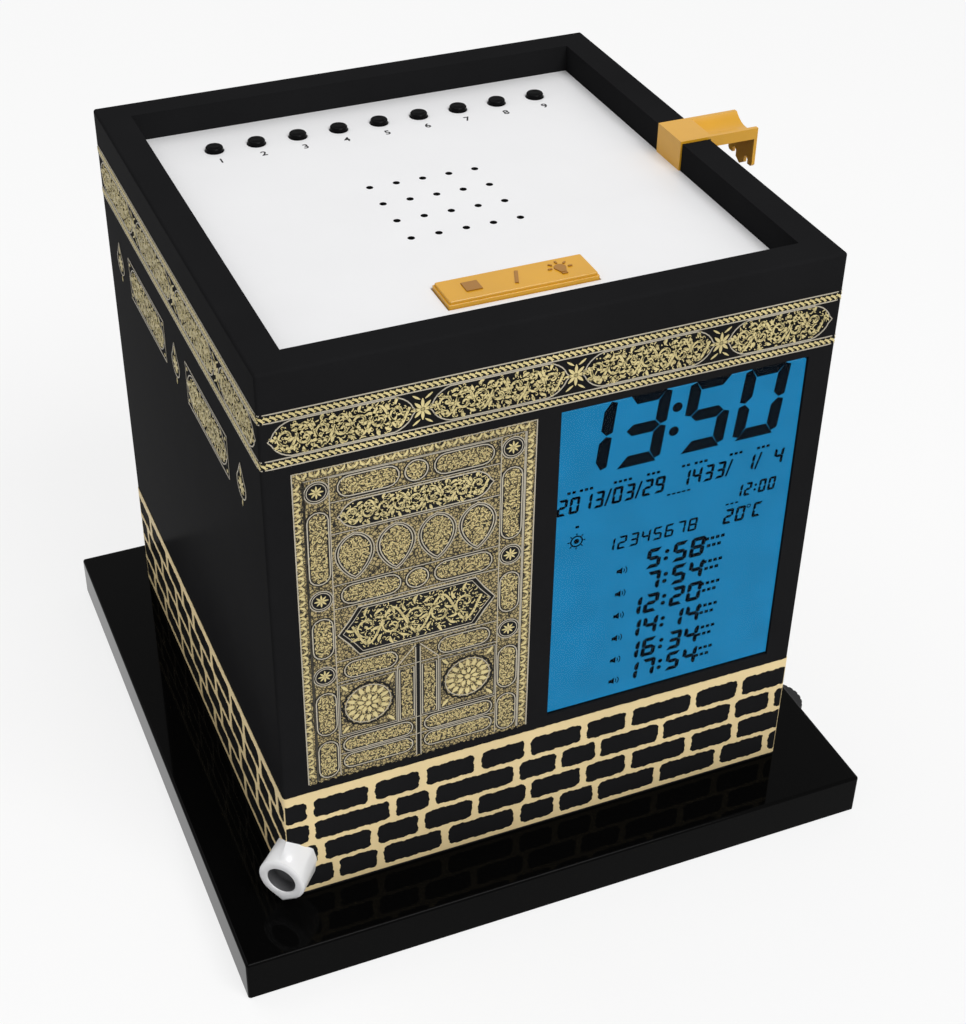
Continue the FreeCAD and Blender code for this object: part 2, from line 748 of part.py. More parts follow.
def speaker_cone():
    """The paper cone with its rolled edge and dust cap, hung in the basket."""
    top = gasket_bottom
    rim = speaker_diameter / 2 - 4.4
    floor = top - speaker_depth + magnet_height
    neck = 7.0
    t = cone_thickness
    points = [(rim, top), (rim - 2.2, top - 0.9), (neck, floor + 3), (neck - 1, floor + 3), (neck - 1, floor + 4.4),
              (3, floor + 6.2), (0, floor + 6.8), (0, floor + 6.8 - t), (3, floor + 6.2 - t), (neck - 1 - t, floor + 4),
              (neck - 1 - t, floor + 3 - t - 1), (neck, floor + 3 - t - 1), (rim - 2.2, top - 0.9 - 1.4 * t),
              (rim, top - 1.0 * t)]
    return turned(points)


def speaker_gasket():
    """The foam ring between the speaker and the roof."""
    outer = speaker_diameter / 2
    return turned([(outer, roof_bottom), (outer - gasket_width, roof_bottom),
                   (outer - gasket_width, gasket_bottom), (outer, gasket_bottom)])


def speaker_clamps():
    """Four washers that hold the speaker's rim against its gasket."""
    washers = []
    for x, y in speaker_posts_at:
        disc = rod(clamp_diameter, x, y, clamp_bottom, clamp_bottom + clamp_thickness)
        washers.append(disc.cut(rod(small_shank_diameter, x, y, clamp_bottom - 1, clamp_bottom + 2)))
    return group(washers)


def display_lens():
    """The clear window, let into the front wall from behind."""
    m = lens_margin
    front = -half_body + window_recess
    plate = box(window_x0 - m, front, window_z0 - m, window_x1 + m, front + lens_thickness, window_z1 + m)
    return plate


def display_glass():
    """The liquid crystal cell behind the window, with its stepped contact ledge."""
    m = glass_margin
    middle = front_inside + glass_thickness / 2
    front = box(window_x0 - m, front_inside, window_z0 - m, window_x1 + m, middle, window_z1 + m - contact_ledge)
    rear = box(window_x0 - m, middle, window_z0 - m, window_x1 + m, front_inside + glass_thickness, window_z1 + m)
    return fuse(front, [rear])


def light_guide():
    """The clear plate that spreads the blue light behind the glass."""
    m = glass_margin
    y0 = front_inside + glass_thickness
    return box(window_x0 - m, y0, window_z0 - m, window_x1 + m, y0 + guide_thickness, window_z1 + m - lamp_room)


def light_strip():
    """A narrow board with a row of lamps that shines down into the guide."""
    m = glass_margin
    y0 = front_inside + glass_thickness
    y1 = y0 + guide_thickness
    top = window_z1 + m
    strip = box(window_x0 - m, y0 + 0.2, top - strip_thickness, window_x1 + m, y1 - 0.2, top)
    lamps = []
    for k in range(lamp_count):
        x = window_x0 + window_width / lamp_count * (k + 0.5)
        lamps.append(box(x - lamp_width / 2, y0 + 0.8, top - lamp_room, x + lamp_width / 2, y1 - 0.8,
                         top - strip_thickness + 0.1))
    return fuse(strip, lamps)


def display_frame():
    """The tray that holds glass and guide against the front wall, with four screw lugs."""
    m = glass_margin + 0.1
    back = front_inside + glass_thickness + guide_thickness
    w = frame_wall
    tray = box(window_x0 - m - w, front_inside, window_z0 - m - w, window_x1 + m + w, back + frame_back,
               window_z1 + m + w)
    lugs = []
    for x, z in lugs_at:
        lugs.append(rod_along(lug_width, (x, lug_seat, z), (0, 1, 0), lug_thickness))
        lugs.append(box(x - lug_width / 2, lug_seat, min(z, window_z1), x + lug_width / 2, lug_seat + lug_thickness,
                        max(z, window_z0)))
    tray = fuse(tray, lugs)
    holes = [box(window_x0 - m, front_inside - 1, window_z0 - m, window_x1 + m, back, window_z1 + m),
             box(window_x0 + frame_lip, back - 1, window_z0 + frame_lip, window_x1 - frame_lip,
                 back + frame_back + 1, window_z1 - frame_lip)]
    holes += [rod_along(screw_diameter + 0.6, (x, lug_seat - 1, z), (0, 1, 0), 5.0) for x, z in lugs_at]
    holes += [rod_along(post_diameter + 0.4, (x, front_inside - 1, z), (0, 1, 0), lug_height + 1) for x, z in lugs_at]
    return cut(tray, holes)


def display_screws():
    """The four screws of the display frame."""
    screws = []
    for x, z in lugs_at:
        seat = lug_seat + lug_thickness
        head = rod_along(screw_head_diameter, (x, seat, z), (0, 1, 0), screw_head)
        shank = rod_along(screw_diameter, (x, seat, z), (0, -1, 0), lug_thickness + 3.5)
        screws.append(fuse(head, [shank]))
    return group(screws)


def display_board():
    """The driver board on the back of the display frame, with its sealed chip."""
    middle_x = (window_x0 + window_x1) / 2
    middle_z = (window_z0 + window_z1) / 2
    reach = window_height / 2 - display_board_inset
    half = window_width / 2 - 1.0
    y0 = display_board_front
    y1 = y0 + board_thickness
    plate = box(middle_x - half, y0, middle_z - reach, middle_x + half, y1, middle_z + reach)
    drop = Part.makeSphere(drop_radius, V(middle_x, y1 + drop_height - drop_radius, middle_z))
    drop = drop.common(box(middle_x - drop_radius, y1 - 0.1, middle_z - drop_radius,
                           middle_x + drop_radius, y1 + drop_radius, middle_z + drop_radius))
    socket = box(middle_x - socket_length / 2, y1 - 0.1, display_socket_top - socket_height,
                 middle_x + socket_length / 2, display_socket_back, display_socket_top)
    return fuse(plate, [drop, socket])


def main_board():
    """The main board, lying on four spacers above the plinth."""
    half = main_board_length / 2
    y0 = main_board_y - main_board_width / 2
    return board(-half, y0, half, y0 + main_board_width, main_board_top, main_posts_at)


def board_spacers():
    """Four turned spacers between the plinth and the main board."""
    spacers = []
    for x, y in main_posts_at:
        spacer = rod(post_diameter, x, y, plinth_top, main_board_bottom)
        spacers.append(spacer.cut(rod(small_shank_diameter, x, y, plinth_top + 1, main_board_bottom + 1)))
    return group(spacers)


def main_board_screws():
    """Screws down through the main board into its spacers."""
    top = main_board_top
    screws = []
    for x, y in main_posts_at:
        head = rod(small_head_diameter, x, y, top, top + small_head)
        screws.append(fuse(head, [rod(small_shank_diameter, x, y, top - 5.5, top)]))
    return group(screws)


def main_board_parts():
    """The larger parts on the main board: chips, sound module, capacitors, crystal, sockets."""
    top = main_board_top
    y = main_board_y
    pieces = [box(x, y + v, top, x + length, y + v + width, top + height) for x, v, length, width, height in chips]
    pieces += [rod(diameter, x, y + v, top, top + height) for diameter, x, v, height in cans]
    return group(pieces)


def ribbon_cable():
    """The flat cable from the main board's socket up to the driver board's socket."""
    low = main_board_top + socket_height
    start = main_socket_y
    end = display_socket_back
    loop = end + ribbon_loop
    high = display_socket_top - socket_height / 2
    t = ribbon_thickness
    rise = [(start, low), (start, low + ribbon_rise), (loop, high - 4), (loop, high), (end, high)]
    back = [(end, high + t), (loop + t, high + t), (loop + t, high - 4 - t / 4),
            (start + t, low + ribbon_rise + t / 3), (start + t, low)]
    shape = extruded([(0, y, z) for y, z in rise + back], (ribbon_width, 0, 0))
    # The socket on the main board lies left of the display, so the cable slants across
    slant = (window_x0 + window_x1) / 2 / (high - low)
    matrix = FreeCAD.Matrix()
    matrix.A13 = slant
    shape = shape.transformGeometry(matrix)
    shape.translate(V(-ribbon_width / 2 - slant * low, 0, 0))
    return shape


def spout():
    """The spout: a skin over the parapet and a round trough that reaches out beyond it."""
    half = spout_width / 2
    inner_x = well_half
    top = body_top + spout_proud
    saddle_in = box(inner_x - spout_skin, -half, roof_top, inner_x, half, top)
    cap = box(inner_x - spout_skin, -half, body_top, half_body + 0.4, half, top)
    arm = box(half_body, -half, top - spout_depth, half_body + spout_reach, half, top)
    body = fuse(saddle_in, [cap, arm])
    radius = ((trough_width / 2) ** 2 + trough_depth ** 2) / (2 * trough_depth)
    trough = Part.makeCylinder(radius, spout_reach + 2, V(half_body + 0.3, 0, top - trough_depth + radius), V(1, 0, 0))
    return body.cut(trough)


def spout_apron():
    """The hanging plate at the spout's mouth, with a notched lower edge."""
    half = spout_width / 2
    top = body_top + spout_proud - spout_depth
    low = top - apron_drop
    x0 = half_body + spout_reach - apron_thickness
    notch = low + apron_notch_depth
    inner, outer = apron_notch_inner, apron_notch_outer
    half_outline = [(half, top), (half, low + 0.6), (half - 0.6, low), (outer, low), (outer, notch),
                    ((inner + outer) / 2, notch + 0.8), (inner, notch), (inner, low - 0.4), (0, low - apron_tongue)]
    outline = half_outline + [(-y, z) for y, z in reversed(half_outline[:-1])]
    return extruded([(x0, y, z) for y, z in outline], (apron_thickness, 0, 0))


def corner_frame():
    """The white frame on the corner: ruled sides from an outline on both walls to a round rim."""
    root = V(-half_body, -half_body, 0)
    out = V(-1, -1, 0).normalize()
    side = V(1, -1, 0).normalize()
    centre_z = plinth_top + corner_centre
    upper = [(0, 1.0), (3.4, 0.76), (6.4, 0.48), (corner_reach, 0.10)]

    def wall_curve(sign):
        """The outline on one wall: a pointed oval from the top of the corner edge to its foot."""
        direction = V(1, 0, 0) if sign > 0 else V(0, 1, 0)
        points = [root + direction * t + UP * (centre_z + corner_half_height * share) for t, share in upper]
        points += [root + direction * t + UP * (centre_z - corner_half_height * share) for t, share in reversed(upper)]
        curve = Part.BSplineCurve()
        curve.interpolate(points)
        return curve.toShape()

    rim_radius = corner_rim_diameter / 2
    middle = root + out * (corner_out - corner_lip) + UP * centre_z

    def rim_curve(sign):
        """Half of the rim, from its top to its foot."""
        return Part.Arc(middle + UP * rim_radius, middle + side * sign * rim_radius,
                        middle - UP * rim_radius).toShape()

    faces = []
    edge = Part.LineSegment(root + UP * (centre_z + corner_half_height),
                            root + UP * (centre_z - corner_half_height)).toShape()
    for sign in (-1, 1):
        faces.append(Part.makeRuledSurface(wall_curve(sign), rim_curve(sign)))
        faces.append(Part.Face(Part.Wire([wall_curve(sign), edge])))
    faces.append(Part.Face(Part.Wire([rim_curve(-1), rim_curve(1)])))
    shell = Part.Shell(faces)
    shell.sewShape()
    body = Part.Solid(shell)
    if body.Volume < 0:
        body.reverse()
    lip = Part.makeCylinder(rim_radius, corner_lip, middle, out)
    front = [e for e in lip.Edges if len(e.Vertexes) == 1 and (e.CenterOfMass - middle).dot(out) > corner_lip / 2]
    lip = lip.makeFillet(corner_lip * 0.9, front)
    foot = middle - UP * (rim_radius - 0.5)
    wedge = [foot + side * corner_tip, foot - UP * (corner_tip + 0.5), foot - side * corner_tip]
    tip = Part.Face(Part.makePolygon(wedge + wedge[:1])).extrude(out * (corner_lip / 2))
    body = fuse(body, [lip, tip])
    front_point = middle + out * corner_lip
    bowl_radius = corner_opening / 2 + 1.6
    recess = Part.makeCylinder(corner_opening / 2, corner_recess + 1, front_point + out, out * -1)
    bowl = Part.makeSphere(bowl_radius, front_point + out * (bowl_radius - corner_recess - 0.6))
    return body.cut(recess.common(bowl)).cut(
        Part.makeCylinder(corner_opening / 2, 2.0, front_point - out * 0.9, out))


def volume_wheel():
    """The thumb wheel: a notched disc on a short shaft."""
    top = plinth_ceiling - moving_gap
    disc = rod(wheel_diameter, wheel_x, wheel_y, top - wheel_thickness, top)
    shaft = rod(wheel_shaft_diameter, wheel_x, wheel_y, pot_top - 2.0, top)
    reach = (wheel_diameter + wheel_notch_diameter) / 2 - wheel_notch_depth
    notches = []
    for k in range(wheel_notches):
        turn = 2 * math.pi * k / wheel_notches
        notches.append(rod(wheel_notch_diameter, wheel_x + reach * math.cos(turn), wheel_y + reach * math.sin(turn),
                           top - wheel_thickness - 1, top + 1))
    return cut(disc, notches).fuse(shaft)


def volume_pot():
    """The potentiometer under the wheel on its own small board."""
    case = rod(pot_diameter, wheel_x, wheel_y, pot_base, pot_top)
    case = case.cut(rod(wheel_shaft_diameter + 0.1, wheel_x, wheel_y, pot_top - 2.2, pot_top + 1))
    back = box(wheel_x - 8, wheel_y - 4, pot_base, wheel_x - 1.8, wheel_y + 4, pot_top)
    back = back.cut(rod(pot_diameter - 0.2, wheel_x, wheel_y, pot_base - 1, pot_top + 1))
    return fuse(case, [back])


def volume_board():
    """The small board that carries the potentiometer."""
    half = volume_board_width / 2
    return board(wheel_x - volume_board_reach, wheel_y - half, half_plinth - 1.4, wheel_y + half, pot_base,
                 [(volume_screw_x, wheel_y)])


def volume_screw():
    """The screw that holds the small board to its boss."""
    return rod(screw_diameter - 0.3, volume_screw_x, wheel_y, pot_base - board_thickness, pot_base + 4.5)


def rear_key(k):
    """One key in the back wall, with its flange, stem and plunger."""
    radius = rear_key_diameter / 2
    flange_top = inner_half - key_stop_gap
    stem_end = flange_top - rear_key_flange - key_stem
    tip = half_body + rear_key_proud
    profile = [(0, stem_end), (key_stem_diameter / 2, stem_end), (key_stem_diameter / 2, stem_end + key_stem),
               (radius + 1.1, stem_end + key_stem), (radius + 1.1, flange_top), (radius, flange_top),
               (radius, tip - 0.4), (radius - 0.4, tip), (0, tip)]
    cap = turned(profile)
    plunger = rod(plunger_diameter, 0, 0, rear_switch_front - plunger_entry, stem_end)
    key = group([cap, plunger])
    key.rotate(V(0, 0, 0), V(1, 0, 0), -90)
    key.translate(V(rear_keys_at[k], 0, rear_key_z))
    return key


def rear_switches():
    """The switch cases behind the rear keys."""
    half = switch_side / 2
    cases = []
    for x in rear_keys_at:
        case = box(x - half, rear_switch_back, rear_key_z - half, x + half, rear_switch_front, rear_key_z + half)
        cases.append(case.cut(rod_along(switch_bore_diameter, (x, rear_switch_front + 1, rear_key_z), (0, -1, 0),
                                        switch_bore_depth + 1)))
    return group(cases)


def rear_board():
    """The board behind the rear keys."""
    plate = box(-rear_board_half, rear_switch_back - board_thickness, rear_key_z - 6,
                rear_board_half, rear_switch_back, rear_key_z + 6)
    return cut(plate, [rod_along(screw_diameter, (x, rear_switch_back + 1, rear_key_z), (0, -1, 0), 4)
                       for x in rear_screws_at])


def rear_screws():
    """The two screws of the rear board."""
    seat = rear_switch_back - board_thickness
    screws = []
    for x in rear_screws_at:
        head = rod_along(small_head_diameter, (x, seat, rear_key_z), (0, -1, 0), small_head)
        screws.append(head.fuse(rod_along(small_shank_diameter, (x, seat, rear_key_z), (0, 1, 0), 6.0)))
    return group(screws)


def power_inlet():
    """The round power socket with its middle pin, in the back edge of the plinth."""
    top = plinth_ceiling - board_thickness
    z = top - inlet_height / 2
    y1 = half_plinth - plinth_wall
    block = box(inlet_x - inlet_width / 2, y1 - inlet_length, top - inlet_height, inlet_x + inlet_width / 2, y1, top)
    nose = rod_along(inlet_nose_diameter, (inlet_x, y1 - 1, z), (0, 1, 0), plinth_wall + 0.6)
    block = block.fuse(nose).cut(rod_along(inlet_bore_diameter, (inlet_x, half_plinth, z), (0, -1, 0),
                                           inlet_bore_depth))
    pin = rod_along(inlet_pin_diameter, (inlet_x, half_plinth - inlet_bore_depth - 1, z), (0, 1, 0), inlet_bore_depth)
    return block.common(box(0, 0, 0, half_plinth, half_plinth, plinth_top)).fuse(pin)


def inlet_board():
    """The small board above the power inlet, against the plinth's ceiling."""
    y1 = half_plinth - plinth_wall - 0.3
    half = inlet_board_width / 2
    return box(inlet_x - half, y1 - inlet_board_length, plinth_ceiling - board_thickness,
               inlet_x + half, y1, plinth_ceiling)


def build():
    """Every sub-part by its name."""
    nodes = {}
    nodes["plinth"] = plinth()
    nodes["base_cover"] = base_cover()
    nodes["battery_door"] = battery_door()
    nodes["battery_cells"] = battery_cells()
    nodes["battery_contacts"] = battery_contacts()
    nodes["rubber_feet"] = rubber_feet()
    nodes["cover_screws"] = cover_screws()
    nodes["body_shell"] = body_shell()
    nodes["body_screws"] = body_screws()
    nodes["roof_panel"] = roof_panel()
    nodes["roof_screws"] = roof_screws()
    for k in range(key_count):
        nodes[f"play_button_{k + 1}"] = play_button(k)
    nodes["button_board"] = button_board()
    nodes["button_switches"] = switches([(x, key_y) for x in keys_at])
    nodes["stop_light_bar"] = stop_light_bar()
    nodes["bar_board"] = bar_board()
    nodes["bar_switches"] = switches(bar_switches_at)
    nodes["board_screws"] = board_screws()
    nodes["speaker_basket"] = speaker_basket()
    nodes["speaker_magnet"] = speaker_magnet()
    nodes["speaker_cone"] = speaker_cone()
    nodes["speaker_gasket"] = speaker_gasket()
    nodes["speaker_clamps"] = speaker_clamps()
    nodes["display_lens"] = display_lens()
    nodes["display_glass"] = display_glass()
    nodes["light_guide"] = light_guide()
    nodes["light_strip"] = light_strip()
    nodes["display_frame"] = display_frame()
    nodes["display_screws"] = display_screws()
    nodes["display_board"] = display_board()
    nodes["main_board"] = main_board()
    nodes["board_spacers"] = board_spacers()
    nodes["main_board_screws"] = main_board_screws()
    nodes["main_board_parts"] = main_board_parts()
    nodes["ribbon_cable"] = ribbon_cable()
    nodes["roof_spout"] = spout()
    nodes["spout_apron"] = spout_apron()
    nodes["corner_frame"] = corner_frame()
    nodes["volume_wheel"] = volume_wheel()
    nodes["volume_pot"] = volume_pot()
    nodes["volume_board"] = volume_board()
    nodes["volume_screw"] = volume_screw()
    for k in range(rear_key_count):
        nodes[f"rear_key_{k + 1}"] = rear_key(k)
    nodes["rear_switches"] = rear_switches()
    nodes["rear_board"] = rear_board()
    nodes["rear_screws"] = rear_screws()
    nodes["power_inlet"] = power_inlet()
    nodes["inlet_board"] = inlet_board()
    return nodes


os.makedirs("parts", exist_ok=True)
for name, shape in build().items():
    shape.exportStep(f"parts/{name}.step")
    print(f"{name:20s} solids {len(shape.Solids)} volume {shape.Volume:10.1f} valid {shape.isValid()}")
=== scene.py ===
"""The azan clock dressed for rendering: printed walls, lit display, roof marks, light and camera."""

import bpy
import bmesh
import json
import random
from math import acos, atan2, cos, hypot, pi, radians, sin, tan
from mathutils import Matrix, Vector


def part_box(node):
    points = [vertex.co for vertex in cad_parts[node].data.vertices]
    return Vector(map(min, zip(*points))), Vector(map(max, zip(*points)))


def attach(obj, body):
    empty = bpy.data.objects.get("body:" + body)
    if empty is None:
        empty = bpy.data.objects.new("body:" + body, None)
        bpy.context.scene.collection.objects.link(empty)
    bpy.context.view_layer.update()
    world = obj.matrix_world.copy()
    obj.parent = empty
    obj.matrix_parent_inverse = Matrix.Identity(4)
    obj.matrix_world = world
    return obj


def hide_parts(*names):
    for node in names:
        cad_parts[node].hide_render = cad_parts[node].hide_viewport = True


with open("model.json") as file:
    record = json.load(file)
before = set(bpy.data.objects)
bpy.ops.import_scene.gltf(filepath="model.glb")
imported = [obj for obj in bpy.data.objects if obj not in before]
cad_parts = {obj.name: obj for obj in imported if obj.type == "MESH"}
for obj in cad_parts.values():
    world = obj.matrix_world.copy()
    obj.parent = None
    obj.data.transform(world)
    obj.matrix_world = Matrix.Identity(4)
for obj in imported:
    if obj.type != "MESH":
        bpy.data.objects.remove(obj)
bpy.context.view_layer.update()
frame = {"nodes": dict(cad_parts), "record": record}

MM = 0.001
CASE = "case"

# The cube, in millimetres
body_low, body_high = [tuple(v / MM for v in corner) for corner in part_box("body_shell")]
HALF = body_high[0]
SIDE = 2 * HALF
TOP = body_high[2]
FOOT = body_low[2]
CORNER_ROUND = 0.8
WALLS = ("front", "right", "back", "left")
PLAIN_WALLS = WALLS[1:]

# Heights of the printed layers above the wall
SINK = -0.05
GROUND = 0.04
DARK = 0.08
GOLD = 0.13

# Widths of the pale printed lines
HAIR_LINE = 0.22
FINE_LINE = 0.26
RIM_LINE = 0.3

# Belt, from the top of the cube downward; a side leaf has a distance, length, width and tilt
BELT_TOP = 10.0
BELT_BOTTOM = 24.6
TRIM_HEIGHT = 2.5
ROPE_PITCH = 1.45
STARS = (0.5, 38.0, 75.5, 113.0, 144.5)
STAR_RADIUS = 2.6
CARTOUCHE_GAP = 2.2
SIDE_LEAF = (1.5, 2.2, 0.5, 35)

# Vine of a frieze; reaches and lengths are shares of its height
VINE_WAVE = 1.0
VINE_SWING = 0.36
VINE_WIDTH = 0.62
VINE_STEPS = 16
TENDRILS = ((0.27, 0.7, 1), (0.12, 0.5, -1))
VINE_LEAVES = 7
VINE_LEAF = (0.36, 0.2, 0.75)
GROUND_PITCH = 1.12
GROUND_SIZE = 0.44

# Framed panels and drops below the belt on the plain walls; a leaf has a height, length and width
PANELS = ((25.5, 61.5), (82.0, 117.5))
PANEL_TOP = 32.5
PANEL_BOTTOM = 44.5
DROPS = (15.0, 71.5, 128.0)
DROP_TOP = 33.0
DROP_MIDDLE = 39.4
DROP_RADIUS = 3.4
DROP_STAR = 2.3
DROP_LEAVES = ((35.3, 2.6, 0.7), (44.2, 1.8, 0.5))

# Curtain on the front, from the left edge and from the top of the cube
CURTAIN_LEFT = 6.7
CURTAIN_RIGHT = 66.4
CURTAIN_TOP = 27.0
CURTAIN_BOTTOM = 122.2
CURTAIN_TRIM = 2.7
COLUMNS = (12.4, 60.4)
COLUMN_WIDTH = 5.6
MIDDLE = 36.4
FIELD_LEFT = 15.6
FIELD_RIGHT = 57.2
TRIM_PITCH = 1.5
RAGGED_STEPS = 120
DISCS = (33.3, 64.5, 87.8)
DISC_RADIUS = 3.1
COLUMN_FIELDS = ((38.9, 59.6), (70.0, 82.2), (93.4, 107.0), (109.4, 121.4))
RULES = (30.0, 37.0, 46.0, 61.0, 68.0, 84.3, 91.0, 109.0, 114.8)
ROW_MIDDLES = (33.4, 64.5)
ROW_FIELDS = ((17.4, 32.2), (40.8, 55.6))
WIDE_FRAME = (17.8, 55.0, 37.7, 45.4)
MEDALLIONS = (21.0, 31.2, 41.5, 51.7)
GREAT_MIDDLE = 76.2
GREAT_FRAME = ((16.2, 76.2), (19.0, 72.6), (21.4, 68.9), (51.4, 68.9), (53.8, 72.6), (56.6, 76.2),
               (53.8, 79.8), (51.4, 83.5), (21.4, 83.5), (19.0, 79.8))
LINTELS = ((17.4, 31.0), (41.8, 55.4))
DOOR_TOP = 92.0
DOOR_BOTTOM = 108.4
ROSETTE_AT = (13.2, 100.1)
ROSETTE_RADIUS = 6.6
ROSETTE_LEAVES = ((16, 0.68, 2.6, 1.15), (9, 0.32, 1.7, 1.05), (16, 0.5, 1.0, 0.5))
SCALLOPS = 20
SILLS = ((109.8, 114.3), (115.4, 119.9))

# Brick course, from the top of the cube
BANDS = ((125.0, 127.9), (134.3, 135.7), (142.4, 143.8), (150.7, 151.9), (158.8, 160.2))
FRONT_JOINTS = (
    (6.8, 23.3, 37.5, 52.9, 67.2, 83.4, 96.8, 116.4, 130.5),
    (7.0, 28.9, 40.2, 64.1, 76.5, 88.1, 107.0, 129.1, 141.6),
    (9.2, 23.8, 37.0, 52.4, 67.8, 83.9, 97.8, 116.1, 130.8),
    (13.0, 25.3, 43.7, 64.7, 76.6, 88.1, 107.0, 126.2, 141.5),
)
JOINT_WIDTH = 1.9
BRICK_ROUND = 1.3
BRICK_WAVES = ((1.1, 0.13), (2.6, 0.10), (5.3, 0.07))
BRICK_STEP = 0.45
BRICK_LENGTHS = (10.5, 20.5)
COURSE_OVERRUN = 3.0
TOP_STEPS = 150
REAR_KEY_PITCH = 14.0

# Holes over the speaker
HOLE_COLUMNS = 5
HOLE_ROWS = 4
HOLE_DIAMETER = 1.9
HOLE_PITCH_X = 7.32
HOLE_PITCH_Y = 9.8
HOLE_DEPTH = 1.6

# Keys and bar on the roof
KEY_COUNT = 9
CAP_RADIUS = 2.35
CAP_DEPTH = 1.5
BAR_LENGTH = 38.5
BAR_WIDTH = 10.6
BAR_DEPTH = 1.2
BAR_STEP = 1.05
BAR_CORNER = 0.35
MARK_HEIGHT = 0.3
NUMBER_SIZE = 3.4
NUMBER_DROP = 4.4
SHARP_ANGLE = radians(32)

# White frame on the front left corner
CORNER_MIDDLE = 10.67
RIM_RADIUS = 6.5
RIM_TIP = 7.7
LIP_OUT = 4.2
EYE_RADIUS = 4.0
EYE_FLOOR = 0.5
CORNER_STEPS = 72
CORNER_EDGE = ((0.0, 10.5), (3.6, 7.9), (7.0, 5.1), (7.9, 0.9), (7.2, -3.3), (5.9, -5.8), (4.5, -8.3),
               (0.0, -10.5))

# Display
INK_HEIGHT = 0.06
GLASS_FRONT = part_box("display_glass")[0][1] / MM
SLANT = tan(radians(6.0))
SEGMENTS = {"0": "abcdef", "1": "bc", "2": "abged", "3": "abgcd", "4": "fgbc", "5": "afgcd", "6": "afgecd",
            "7": "abc", "8": "abcdefg", "9": "abcdfg", "C": "adef", " ": ""}
CLOCK_DIGITS = (("1", 73.6), ("3", 88.0), ("5", 105.3), ("0", 120.3))
CLOCK_POINTS = (34.4, 41.2)
DATE_ROWS = (("2013/03/29", 73.2), ("1433/ 1/ 4", 106.6))
CAPTIONS = ((76.0, 2), (79.3, 3), (88.4, 4), (97.4, 3), (107.0, 2), (110.5, 3), (120.3, 3), (128.0, 3))
DISC_MARK = (79.2, 67.6)
TIME_ROWS = (("5:58", 99.0, 76.3), ("7:54", 99.2, 83.7), ("12:20", 94.4, 91.0), ("14:14", 94.6, 98.5),
             ("16:34", 94.8, 106.0), ("17:54", 95.0, 113.3))
LOUDSPEAKER_AT = 91.0

# Camera fitted to the photograph's straight edges
CAMERA_PLACE = (-0.158072, -0.388097, 0.379407)
CAMERA_DOWN = 36.53
CAMERA_TURN = -21.909
CAMERA_LENS = 64.28
CAMERA_SHIFT = 0.0452
SENSOR = 36.0

# Light
WORLD_STRENGTH = 0.5
FLOOR_SIZE = 6.0
FLOOR_GREY = 0.9
FLOOR_SHINE = 0.78
LAMPS = (("key", (0.35, -1.1, 1.5), 0.8, 20.0), ("fill", (-0.5, 0.7, 1.4), 1.0, 5.0))
LAMP_AIM = (0, 0, 0.1)


def linear(colour):
    """A colour given as 0 to 255 screen values, as the shader needs it."""
    out = []
    for value in colour:
        share = value / 255
        out.append(share / 12.92 if share <= 0.04045 else ((share + 0.055) / 1.055) ** 2.4)
    return (*out, 1.0)


# Materials
materials = {}


def new_material(name):
    """A node material, kept by its name, with its tree and its shader."""
    material = bpy.data.materials.new(name)
    material.use_nodes = True
    materials[name] = material
    return material.node_tree, material.node_tree.nodes["Principled BSDF"]


def add(tree, kind, values=None):
    """A new shader node with constants on its inputs."""
    node = tree.nodes.new("ShaderNode" + kind)
    put(node, values or {})
    return node


def put(node, values):
    """Constants on a node's inputs."""
    for key, value in values.items():
        node.inputs[key].default_value = value


def join(first, output, second, socket):
    """A link from one node's output to another's input."""
    first.id_data.links.new(first.outputs[output], second.inputs[socket])


def texture(tree, kind, scale, **values):
    """A procedural texture in object coordinates, with its scale in features per millimetre."""
    node = add(tree, kind, {"Scale": scale / MM, **values})
    join(add(tree, "TexCoord"), "Object", node, "Vector")
    return node


def ramp(source, output, stops):
    """A colour ramp on a texture's value."""
    node = add(source.id_data, "ValToRGB")
    elements = node.color_ramp.elements
    while len(elements) < len(stops):
        elements.new(0.5)
    for element, (place, colour) in zip(elements, stops):
        element.position = place
        element.color = colour
    join(source, output, node, "Fac")
    return node


def polish(source, shader, low, high):
    """A roughness that follows a texture's value."""
    node = add(source.id_data, "MapRange", {"To Min": low, "To Max": high})
    join(source, "Fac", node, "Value")
    join(node, "Result", shader, "Roughness")


def relief(source, output, shader, strength, distance):
    """A bump from a texture's value."""
    node = add(source.id_data, "Bump", {"Strength": strength, "Distance": distance * MM})
    join(source, output, node, "Height")
    join(node, "Normal", shader, "Normal")


def shaded(colour, factor):
    """A screen colour made lighter or darker, as the shader needs it."""
    return tuple(min(1.0, c * factor) for c in linear(colour)[:3]) + (1.0,)


def moulded(name, colour, rough, gloss=0.5, grain=1.2, depth=0.01, vary=0.06, metal=0.0, ior=1.45):
    """Moulded or painted stuff: a colour that drifts a little, fine grain and uneven polish."""
    tree, shader = new_material(name)
    drift = texture(tree, "TexNoise", 0.05, Detail=3.0)
    tone = ramp(drift, "Fac", [(0.3, shaded(colour, 1 - vary)), (0.7, shaded(colour, 1 + vary))])
    join(tone, "Color", shader, "Base Color")
    fine = texture(tree, "TexNoise", grain, Detail=2.0)
    polish(drift, shader, rough * 0.85, rough * 1.2)
    put(shader, {"Specular IOR Level": gloss, "Metallic": metal, "IOR": ior})
    relief(fine, "Fac", shader, 0.3, depth)


